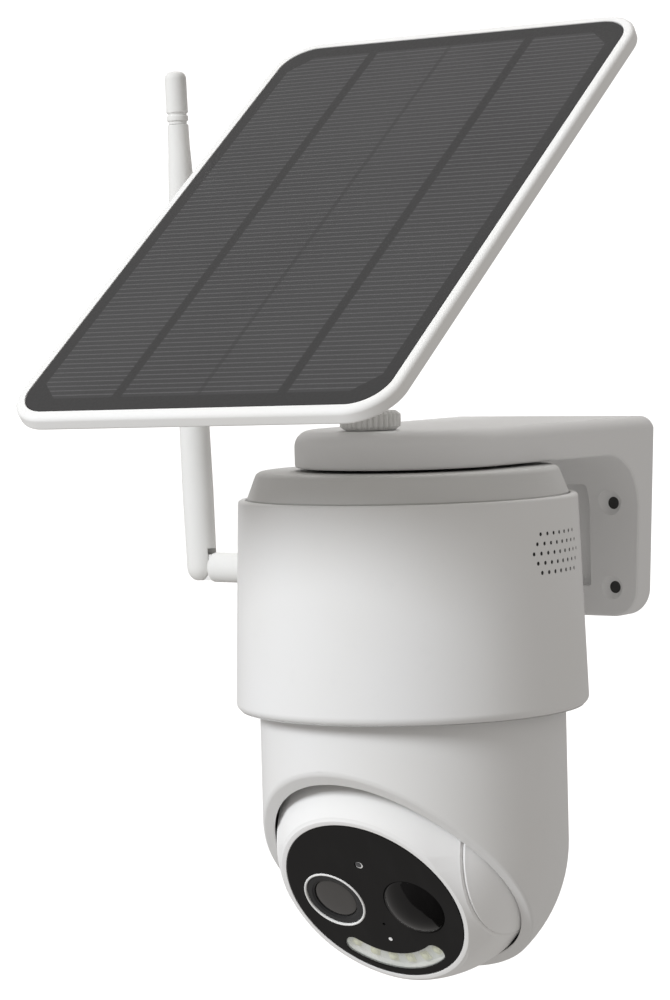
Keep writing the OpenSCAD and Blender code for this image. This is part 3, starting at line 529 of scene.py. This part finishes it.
def rounded_rect(w, h, r, z, steps=10):
    """Ring of points round a rounded rectangle at height z."""
    ring = []
    for cx, cy, a in ((1, 1, 0), (-1, 1, 90), (-1, -1, 180), (1, -1, 270)):
        ring += [(x, y, z) for x, y in arc(cx * (w / 2 - r), cy * (h / 2 - r), r, a, a + 90, steps)]
    return ring


GLASS_W, GLASS_L, RIM, GLASS_R, OUT = 138.5, 208.5, 3.5, 12, 33.4
TRAY_W, TRAY_L, TRAY_R = GLASS_W + 2 * RIM, GLASS_L + 2 * RIM, GLASS_R + RIM


def tray_ring(inset, z):
    return rounded_rect(TRAY_W - 2 * inset, TRAY_L - 2 * inset, max(TRAY_R - inset, 1.5), z, 16)


# the rim's inner edge, its round top, its lower edge, and the step to the flat back
section = [(RIM + 0.02, -2.6), (RIM, -0.2)]
section += arc(RIM - 0.25, -0.05, 0.25, 20, 90, 2)
section += [(1.7 - 1.7 * sin(radians(a)), -1.5 + 1.7 * cos(radians(a))) for a in range(0, 91, 9)]
section += [(0.05, -3.6)]
section += [(0.9 - 0.85 * cos(radians(a)), -4.1 - 0.9 * sin(radians(a))) for a in range(0, 91, 15)]
section += [(6.6, -5), (7.9, -5.5)]
section += arc(9.7, -6.8, 1.2, 180, 270, 6)
skin = [tray_ring(inset, OUT + z) for inset, z in section]
tray = make("panel_shell", *stack_mesh(skin), PANEL, "panel_white")
put(tray, "panel", "panel_tray")

laminate = [rounded_rect(GLASS_W - 0.3 - 2 * o, GLASS_L - 0.3 - 2 * o, GLASS_R - o, OUT + z, 16)
            for o, z in ((0, -1.4), (0, -0.3), (0.06, -0.12), (0.25, 0))]
sheet = make("panel_laminate", *stack_mesh(laminate), PANEL, "panel_glass")
put(sheet, "panel", "solar_glass")

# ---- Wall bracket ----

ARM_TOP, REACH, HUB_R, PLATE_HALF = 45.7, 94, 38, 43.2
touch = degrees(atan2(REACH, PLATE_HALF) - acos(HUB_R / hypot(REACH, PLATE_HALF)))


def arm_ring(inset, z):
    """The arm's plan, drawn in by inset all round except at the wall."""
    x, y = HUB_R * cos(radians(touch)), -REACH + HUB_R * sin(radians(touch))
    pts = [(PLATE_HALF - inset + (x - PLATE_HALF) * t, y * t) for t in (0, 0.25, 0.5, 0.75)]
    pts += [(x, y) for x, y in arc(0, -REACH, HUB_R - inset, touch, -180 - touch, 90)]
    pts += [(-x, y) for x, y in reversed(pts[1:4])]
    pts += [(-PLATE_HALF + inset, 0)]
    return [(x, y, z) for x, y in pts]


FILLET = 5.6
arm = [arm_ring(0, -30), arm_ring(0, ARM_TOP - FILLET)]
arm += [arm_ring(FILLET * (1 - cos(radians(a))), ARM_TOP - FILLET * (1 - sin(radians(a))))
        for a in range(9, 91, 9)]
bracket = make("bracket", *stack_mesh(arm), None, None, keep=False)
side = [(5, 60), (5, -40), (-9.2, -40)] + arc(-30.2, 12, 21, 0, 90, 30) + [(-140, 33), (-140, 60)]
side_tool = make("tool", *stack_mesh([[(x, y, z) for y, z in side] for x in (-60, 60)]), keep=False)
drop = ARM_TOP + 25.3
low_half = PLATE_HALF - drop * tan(radians(2.7))
front = rounded([(-PLATE_HALF - 0.67, 60, 0), (-low_half, ARM_TOP - drop, 10),
                 (low_half, ARM_TOP - drop, 10), (PLATE_HALF + 0.67, 60, 0)], 6)
front_tool = make("tool", *stack_mesh([[(x, y, z) for x, z in front] for y in (-140, 5)]), keep=False)
boolean(bracket, [side_tool], "INTERSECT")
boolean(bracket, [front_tool], "INTERSECT")


def bevel(obj, test, width, segments=3):
    """Rounds the edges for which test(edge) is true."""
    bm = bmesh.new()
    bm.from_mesh(obj.data)
    bmesh.ops.remove_doubles(bm, verts=bm.verts, dist=2e-6)
    bmesh.ops.dissolve_limit(bm, angle_limit=radians(0.4), verts=bm.verts, edges=bm.edges)
    chosen = [e for e in bm.edges if len(e.link_faces) == 2 and test(e)]
    bmesh.ops.bevel(bm, geom=chosen, offset=width * MM, segments=segments, profile=0.5, affect="EDGES",
                    clamp_overlap=True)
    bm.to_mesh(obj.data)
    bm.free()


def off_the_wall(edge_):
    """True for the bracket's sharp edges, other than those against the wall."""
    return edge_.calc_face_angle(0) > radians(35) and max(v.co.y for v in edge_.verts) < -1 * MM


bevel(bracket, off_the_wall, 1.2)
WALL_HOLES = [(x, z) for x in (-30, 30) for z in (-15, 15)]
countersunk = [(0, 3), (2.2, 3), (2.2, -6.9), (4.3, -9.25), (4.9, -9.6), (4.9, -29), (0, -29)]
holes = [lathe("tool", countersunk, at(x, 0, z) @ turned(-90, "X"), keep=False, segments=64)
         for x, z in WALL_HOLES]
pocket = rounded([(-21.5, -14.6, 1.2), (21.5, -14.6, 1.2), (21.5, 21.8, 1.2), (-21.5, 21.8, 1.2)], 15)
holes.append(make("tool", *stack_mesh([[(x, y, z) for x, z in pocket] for y in (-31, -4.7)]), keep=False))
boolean(bracket, [joined(holes)])
HUB_SCREWS = [BODY @ turned(a, "Z") @ at(19, 0, 0) for a in (90, 210, 330)]
POST = at(0, -115.5, 0)
cuts = [tool_cylinder(3.05, 30, 42.5, place) for place in HUB_SCREWS]
post_bore = [(0, 30), (8.5, 30), (8.5, 39.5), (4.05, 39.5), (4.05, 50), (0, 50)]
cuts.append(lathe("tool", post_bore, POST, keep=False, segments=64))
boolean(bracket, [joined(cuts)])
bracket.data.materials.append(looks["bracket_grey"].material)
shade(bracket, 28)
put(bracket, "base", "wall_bracket")

# dark discs inside the wall screw holes: painted shade standing in for the unlit wall cavity behind them
for k, (x, z) in enumerate(WALL_HOLES):
    disc = [(x + 2.19 * cos(a * pi / 16), -6.75, z + 2.19 * sin(a * pi / 16)) for a in range(32)]
    stage_card("depth_%d" % k, [Vector(p) * MM for p in disc], [tuple(range(32))], 0.03, 0, False)

# ---- Body ----

cap = rounded([(0, 20.2, 0), (54.9, 20.2, 0), (54.9, 21.8, 0), (54.3, 22.3, 0), (54.5, 23.1, 0.3),
               (51.05, 32, 2.4), (0, 32, 0)], 9)
lid = lathe("cap", cap, BODY, "cap_grey")
boolean(lid, [joined([tool_cylinder(2.1, 15, 35, place) for place in HUB_SCREWS])])
shade(lid)
put(lid, "base", "top_cap")


def shell_r(z):
    return 57.6 + 2.4 * (22.7 - z) / 71.5


def sector(r0, r1, half, z0, z1):
    """A curved plate about the speaker's middle, from r0 to r1 and half degrees to each side."""
    turns = [radians(2.5 + half * k / 10) for k in range(-10, 11)]
    outline = [(r1 * cos(a), r1 * sin(a)) for a in turns]
    outline += [(r0 * cos(a), r0 * sin(a)) for a in turns[::-1]]
    return stack_mesh([[(x, y, z) for x, y in outline] for z in (z0, z1)])


TOP, BOTTOM = 22.7, -48.8
outer = [(shell_r(BOTTOM), BOTTOM, 2.8)] + [(shell_r(z), z, 0) for z in range(-40, 16, 5)]
outer += [(57.6, TOP, 1.3)]
inner = [(55.15, TOP, 0.35), (55.1, 15, 0), (shell_r(-30) - 2.5, -30, 0), (57.5, BOTTOM, 0.8)]
shell = lathe("shell", rounded(outer + inner, 12), BODY, "shell_white", segments=240)
piercing, hole_shade_fill = [], []
for row, count in enumerate((7, 8, 9, 8, 7)):
    for i in range(count):
        z = 4.7 + (2 - row) * 3.178
        spot = BODY @ turned(2.5 + (i - (count - 1) / 2) * degrees(3.67 / 58.3), "Z")
        spot = spot @ at(0, 0, z) @ ALONG_X
        # a black plug filling each hole to 0.22 mm under the surface: painted shade for the hole's dark depth
        hole_shade_fill.append(tool_cylinder(0.64, 57.36, shell_r(z) - 0.22, spot, 20))
        sound_hole = [(0, 50), (0.66, 50), (0.66, 58), (0.76, 58.5), (0.76, 62), (0, 62)]
        piercing.append(lathe("tool", sound_hole, spot, keep=False, segments=20))
boolean(shell, [joined(piercing)])
boolean(shell, [make("tool", *sector(53, 57.4, 20.6, -4, 13.5), BODY, keep=False)])
pad = [rounded_rect(36 - 2 * o, 22 - 2 * o, 3, z, 6)
       for o, z in ((0, 54.5), (0, 59.4), (0.25, 59.95), (0.8, 60.2))]
pad = make("tool", *stack_mesh(pad), BODY @ at(0, 0, -16) @ turned(-90, "X"), keep=False)
STUB = BODY @ at(0, 0, -3.6) @ turned(-90, "Y")
boss = tool_cylinder(7.4, 50, 58.7, STUB, 64)
boolean(shell, [pad], "UNION")
boolean(shell, [boss], "UNION")
recess = [rounded_rect(30 - 2 * o, 16.4 - 2 * o, 0.6, z, 6) for o, z in ((0.3, 58.0), (0, 58.3), (0, 63))]
cuts = [make("tool", *stack_mesh(recess), BODY @ at(0, 0, -16.2) @ turned(-90, "X"), keep=False)]
boolean(shell, cuts)
slot_ring = rounded([(-11.7, -18, 1.6), (-2.3, -18, 1.6), (-2.3, -14.2, 1.6), (-11.7, -14.2, 1.6)], 15)
cuts = [make("tool", *stack_mesh([[(x, y, z) for x, z in slot_ring] for y in (50, 63)]), BODY, keep=False),
        tool_cylinder(2.6, 50, 63, BODY @ at(8, 0, -16) @ turned(-90, "X"), 40),
        tool_cylinder(0.85, -16.4, 16.4, BODY @ at(0, 59.1, -23) @ ALONG_X, 24)]
boolean(shell, [joined(cuts)])
boolean(shell, [tool_cylinder(4.05, 45, 65, STUB, 48)])
shade(shell, 30)
put(shell, "base", "upper_shell")

# the black sheet in the pocket cut from inside the shell, and the plugs in the holes: a backing mesh behind
# the grille, set close to the surface, and painted shade of the holes' depth
hole_shade_fill.append(make("tool", *sector(56.9, 57.35, 20, -3.5, 13), BODY, keep=False))
grille_backing_and_shade = joined(hole_shade_fill)
grille_backing_and_shade.name = "sound_mesh_and_hole_shade"
grille_backing_and_shade.data.materials.append(looks["rubber_black"].material)
shade(grille_backing_and_shade)
put(grille_backing_and_shade, "base", slot="rubber_black")

# ---- Pan housing: slices through a capsule, from its flat top to its slanted mouth ----

MOUTH, MOUTH_OUT, HOUSING_R, HOUSING_IN, HOUSING_TOP = radians(44), 17.3, 52, 48, 48.3
hinge_y = (-MOUTH_OUT - HOUSING_TOP * sin(MOUTH)) / cos(MOUTH)


def capsule_point(radius, centre, way):
    """Where a ray from inside meets the cylinder above z=0 or the hemisphere below it."""
    a = way.x ** 2 + way.y ** 2
    b, c = centre.x * way.x + centre.y * way.y, centre.x ** 2 + centre.y ** 2 - radius ** 2
    hit = centre + way * ((-b + sqrt(b * b - a * c)) / a)
    if hit.z >= 0:
        return hit
    b, c = centre.dot(way), centre.length_squared - radius * radius
    return centre + way * (-b + sqrt(b * b - c))


def slice_loop(radius, centre_z, lean, count=200):
    v = Vector((0, cos(lean), -sin(lean)))
    return [tuple(capsule_point(radius, Vector((0, 0, centre_z)), Vector((1, 0, 0)) * cos(t) + v * sin(t)))
            for t in (2 * pi * k / count for k in range(count))]


def mouth_loop(radius, depth):
    return slice_loop(radius, -(MOUTH_OUT - depth) / sin(MOUTH), pi / 2 - MOUTH)


def wall_loops(radius, clear=0.03):
    last = (pi / 2 - MOUTH) * (1 - clear)
    return [slice_loop(radius, HOUSING_TOP + hinge_y * tan(b), b) for b in (last * k / 30 for k in range(31))]


loops = wall_loops(HOUSING_R)
loops += [mouth_loop(HOUSING_R - 0.9 * (1 - cos(radians(a))), 0.9 * (1 - sin(radians(a))))
          for a in range(0, 91, 15)]
loops += [mouth_loop(HOUSING_IN + 0.5 * (1 - sin(radians(a))), 0.5 * (1 - cos(radians(a))))
          for a in range(0, 91, 18)]
loops += wall_loops(HOUSING_IN)[::-1]
n = len(loops[0])
verts = [p for loop in loops for p in loop]
faces = []
for i in range(len(loops)):
    this, following = i * n, (i + 1) % len(loops) * n
    faces += [(this + k, this + (k + 1) % n, following + (k + 1) % n, following + k) for k in range(n)]
housing = make("housing", verts, faces, TILT, "housing_white", sharp=40)
put(housing, "pan", "pan_housing")

# ---- Ball head ----

BALL_R, WALL, SEAM, PLATE_Z, PLATE_R = 47.5, 2.5, 37, 31.4, 33.5
rim_r = sqrt(BALL_R ** 2 - PLATE_Z ** 2)
split = degrees(asin(-2 / BALL_R))
edge = degrees(atan2(PLATE_Z, rim_r))
front_wall = arc(0, 0, BALL_R, split, edge - 1.2, 44)
front_wall += [(rim_r - 0.12, PLATE_Z - 0.35), (rim_r - 0.45, PLATE_Z - 0.08), (rim_r - 0.8, PLATE_Z)]
front_wall += [(PLATE_R + 0.25, PLATE_Z), (PLATE_R + 0.05, PLATE_Z - 0.08), (PLATE_R, PLATE_Z - 0.3),
               (PLATE_R, 29.3), (31.6, 29.3), (31.6, 27.5)]
inside = BALL_R - WALL
front_wall += arc(0, 0, inside, degrees(acos(33 / inside)), degrees(asin(-2 / inside)), 40)
ball = lathe("ball_shell", front_wall, FACE, "ball_white", segments=240)


def true_ball(obj, radius):
    """Shades the faces that lie on a ball about the object's own origin as that ball."""
    mesh = obj.data
    corners = [normal.vector.copy() for normal in mesh.corner_normals]
    for face in mesh.polygons:
        for i in face.loop_indices:
            out = mesh.vertices[mesh.loops[i].vertex_index].co
            if abs(out.length - radius * MM) < 0.02 * MM and face.normal.dot(out.normalized()) > 0.98:
                corners[i] = out.normalized()
    mesh.normals_split_custom_set(corners)


def seam_tool(x_seam, back):
    """A long roller whose ends carry the rounded edge of the seam."""
    r_seam = sqrt(BALL_R ** 2 - x_seam ** 2)
    end = [(60, x_seam - back - 30), (r_seam + 2.2 * back, x_seam - back - 0.6),
           (r_seam + 0.15, x_seam - back * 0.75), (r_seam - 0.1, x_seam - back * 0.3), (r_seam - 0.4, x_seam),
           (0, x_seam)]
    return lathe("tool", end[::-1] + [(r, -z) for r, z in end], FACE @ ALONG_X, segments=240, keep=False)


boolean(ball, [seam_tool(SEAM - 0.05, 0.25)], "INTERSECT")
shade(ball, 22, False)
true_ball(ball, BALL_R)
put(ball, "head", "ball_front")

cap_edge = degrees(acos((SEAM + 1.5) / BALL_R))
cap_wall = [(28.1, SEAM + 0.05), (28.62, SEAM + 0.12), (28.78, SEAM + 0.35), (28.72, SEAM + 0.9)]
cap_wall += [(r, x) for x, r in arc(0, 0, BALL_R - 0.03, cap_edge, 5.5, 40)]
cap_wall += [(4.06, 45.9), (4.06, 33), (7.5, 33), (7.5, SEAM + 0.05)]
for name, way in (("left", -90), ("right", 90)):
    dome = lathe("cap_" + name, cap_wall, HEAD @ turned(way, "Y"), "ball_white", segments=160)
    put(dome, "head", "side_cap_" + name)

# ---- Face ----

PLATE_BACK = 29.4
plate = [(0, PLATE_BACK), (PLATE_R - 0.1, PLATE_BACK), (PLATE_R - 0.1, PLATE_Z - 0.4)]
plate += [(PLATE_R - 0.5 + 0.4 * cos(radians(a)), PLATE_Z - 0.4 + 0.4 * sin(radians(a)))
          for a in (20, 45, 70, 90)]
plate.append((0, PLATE_Z))
face = lathe("face", plate, FACE, "face_black", segments=200)
LENS, PIR, SENSOR, MIC, STATUS = (-16.5, -1), (15.5, -1), (0, 16), (0, -10.2), (0, -17)
STRIP_R, STRIP_HALF, STRIP_SPAN = 27, 3.5, 37


def strip_ring(half, z):
    a, b = -90 - STRIP_SPAN, -90 + STRIP_SPAN
    pts = []
    for start, end, turn in ((a, b, 0), (b, a, 180)):
        cx, cy = STRIP_R * cos(radians(end)), STRIP_R * sin(radians(end))
        pts += arc(0, 0, STRIP_R - half if turn else STRIP_R + half, start, end, 40)[:-1]
        pts += arc(cx, cy, half, end + turn, end + turn + 180, 16)[:-1]
    return [(x, y, z) for x, y in pts]


def face_tool(where, r, flare=0.12, segments=96):
    flared = [(0, 25), (r, 25), (r, PLATE_Z - flare), (r + flare, PLATE_Z + 0.01), (r + flare, 36), (0, 36)]
    return lathe("tool", flared, FACE @ at(*where, 0), segments=segments, keep=False)


tools = [face_tool(LENS, 11.75), face_tool(PIR, 11.35), face_tool(SENSOR, 1.55)]
tools += [face_tool(MIC, 0.5, 0.1, 24), face_tool(STATUS, 0.8, 0.1, 24)]
rings = [strip_ring(STRIP_HALF + o, z)
         for o, z in ((0.05, 25), (0.05, PLATE_Z - 0.12), (0.17, PLATE_Z + 0.01), (0.17, 36))]
tools.append(make("tool", *stack_mesh(rings), FACE, keep=False))
boolean(face, [joined(tools)])
shade(face, 25)
put(face, "head", "face_plate")

trim = rounded([(10.8, 29.4, 0), (11.7, 29.4, 0), (11.7, 31.7, 0.4), (10.85, 31.7, 0.38)], 15)
put(lathe("lens_trim", trim, FACE @ at(*LENS, 0), "ring_white"), "head", "lens_ring")
hood = rounded([(9, 16, 0), (9, 29.4, 0), (10.75, 29.4, 0), (10.75, 31.3, 0.4), (8.9, 31.1, 0.3),
                (8.35, 30.75, 0.15), (8.1, 30.75, 0.1), (8.05, 29.5, 0), (6.5, 29.5, 0), (6.5, 16, 0)], 12)
put(lathe("lens_hood", hood, FACE @ at(*LENS, 0), "inner_black"), "head", "lens_barrel")
pane = [(0, 29.55), (8, 29.55)] + arc(7.8, 30.15, 0.2, 0, 90, 2)
pane += [(7.8 * cos(radians(a)), 30.35 + 0.45 * sin(radians(a))) for a in (8, 20, 35, 50, 65, 78)]
pane.append((0, 30.8))
put(lathe("lens_glass", pane, FACE @ at(*LENS, 0), "lens_grey"), "head", "lens_window")

DOME_HALF, DOME_RISE = 11.3, 4.5
dome_r = (DOME_HALF ** 2 + DOME_RISE ** 2) / (2 * DOME_RISE)
middle_z = PLATE_Z + DOME_RISE - dome_r
reach = degrees(asin(10.9 / dome_r))
dome = [(DOME_HALF, PLATE_BACK), (DOME_HALF, PLATE_Z - 0.25), (11.1, PLATE_Z - 0.05)]
dome += arc(0, middle_z, dome_r, 90 - reach, 90, 30)
dome += arc(0, middle_z, dome_r - 1.2, 90, 51, 13) + [(10.1, PLATE_BACK)]
put(lathe("motion_dome", dome, FACE @ at(*PIR, 0), "pir_black"), "head", "pir_lens")

# light sensor: a dark dome set off-centre on a white disc, so that a white crescent shows at the lower right
# as a painted highlight
eye = [(0, 30.9)] + [(1.16 * cos(radians(a)), 31.25 + 0.12 * sin(radians(a))) for a in range(0, 91, 15)]
crescent_offset = FACE @ at(SENSOR[0] - 0.18, SENSOR[1] + 0.2, 0)
put(lathe("sensor_eye", eye, crescent_offset, "sensor_grey", segments=48), "head", "light_sensor")
highlight_disc = rounded([(0, 29.4, 0), (1.45, 29.4, 0), (1.45, 31.2, 0.1), (0, 31.2, 0)], 20)
put(lathe("sensor_highlight_disc", highlight_disc, FACE @ at(*SENSOR, 0), "ring_white", segments=48), "head", slot="ring_white")

window = [strip_ring(STRIP_HALF - o, z) for o, z in ((0, 30.75), (0, 31), (0.08, 31.2), (0.3, 31.3))]
put(make("lamp_window", *stack_mesh(window), FACE, "led_clear"), "head", "led_cover")
back = [strip_ring(STRIP_HALF - o, z)
        for o, z in ((0.6, 27.58), (0.1, 28.5), (0.1, 30.65), (0.45, 30.65), (0.9, 29.4))]
put(make("lamp_tray", *stack_mesh(back), FACE, "ring_white"), "head", slot="ring_white")
lamps = []
for k in range(6):
    a = radians(-90 + STRIP_SPAN * (2 * k / 5 - 1))
    spot = FACE @ at(STRIP_R * cos(a), STRIP_R * sin(a), 0) @ Matrix.Rotation(a, 4, "Z")
    base = [rounded_rect(3.6 - o, 3.6 - o, 0.6, z, 3) for o, z in ((0, 29.3), (0, 29.65), (0.2, 29.75))]
    lamps.append(make("tool", *stack_mesh(base), spot, keep=False))
    bulb = [(0, 29.76)] + [(1.45 * cos(radians(b)), 29.78 + 0.9 * sin(radians(b))) for b in range(0, 91, 10)]
    lamps.append(lathe("tool", bulb, spot, segments=32, keep=False))
leds = joined(lamps)
leds.name = "lamps"
leds.data.materials.append(looks["led_phosphor"].material)
put(shade(leds), "head", "leds")

# ---- Panel joint ----

RIBS, RIB_DEPTH = 32, 0.42


def ribbed(a, r, _z):
    """How far the knob's side draws in at the angle a."""
    return -2 * RIB_DEPTH * (1 - abs(cos(RIBS * a / 2))) if r > 9.3 else 0


grip = rounded([(4.05, 45.9, 0.2), (8.5, 45.9, 0.4), (10.2, 47.1, 0.5), (10.2, 51.1, 0.6), (8.6, 52.3, 0.5),
                (4.05, 52.3, 0.3)], 12)
knob = lathe("knob", grip, POST, "knob_grey", segments=RIBS * 10, wobble=ribbed, sharp=50)
put(knob, "knob", "clamp_knob")
neck = rounded([(0, 33.6, 0), (4, 33.6, 0.5), (4, 54, 0.3), (5, 54.2, 0.4), (5, 79.8, 0.8), (3.5, 81.5, 1.2),
                (3.5, 83.6, 0.4)], 12)
ball_points = arc(0, 91.8, 9, degrees(asin(-8.29 / 9)), 90, 30)
put(lathe("post", neck + ball_points, POST, "post_grey", segments=96), "post", "ball_post")

# ---- Antenna ----

stub = rounded([(0, 45.5, 0), (4, 45.5, 0), (4, 47, 0), (5.6, 47, 0.2), (5.6, 48.5, 0.2), (4, 48.5, 0),
                (4, 59.15, 0), (5.25, 59.15, 0.3), (5.25, 81.9, 0.5), (4.4, 82.3, 0), (0, 82.3, 0)], 12)
arm_stub = lathe("antenna_arm", stub, STUB, "antenna_white", segments=96)
tongue = [(-81.5, -4.6)] + arc(-88, 0, 4.6, 270, 90, 24) + [(-81.5, 4.6)]
tongue = [[(x, y, z) for x, z in tongue] for y in (-2.2, 2.2)]
boolean(arm_stub, [make("tool", *stack_mesh(tongue), BODY @ at(0, 0, -3.6), keep=False)], "UNION")
boolean(arm_stub, [tool_cylinder(1.35, -8, 8, at(-88, -94, -3.6) @ turned(90, "X"), 32)])
shade(arm_stub, 30)
put(arm_stub, "antenna_stub", "antenna_base")

ROD_END = 175
NECK = ROD_END - 18.7
sleeve = [(0, -5.3)] + arc(0, 0, 5.3, -81, 0, 9)
sleeve += rounded([(5.3, 3, 0), (5.5, 28, 0), (4.8, 124, 6), (4.4, 137, 6), (3.8, NECK - 7, 5),
                   (3.7, NECK, 0.35), (0, NECK, 0)], 6)
blade = lathe("antenna_blade", sleeve, ANTENNA, "antenna_white", segments=96)
fork = tool_box((-20, -2.5, -10), (40, 2.5, 6.6), ANTENNA)
pin_bore = tool_cylinder(1.35, -4.5, 4.5, ANTENNA @ turned(90, "X"), 32)
boolean(blade, [fork, pin_bore])
shade(blade, 30)
put(blade, "antenna_rod", "antenna_sleeve")
tip = rounded([(0, NECK + 0.1, 0), (3.2, NECK + 0.1, 0.2), (3.2, NECK + 1.1, 0), (3.75, NECK + 1.4, 0.2),
               (3.75, NECK + 2.9, 0.2),
               (3.25, NECK + 3.3, 0), (3.25, NECK + 3.8, 0), (3.8, NECK + 4.3, 0.25), (3.8, ROD_END, 2.6),
               (0, ROD_END, 0)], 9)
put(lathe("antenna_end", tip, ANTENNA, "antenna_white", segments=96), "antenna_rod", "antenna_tip")
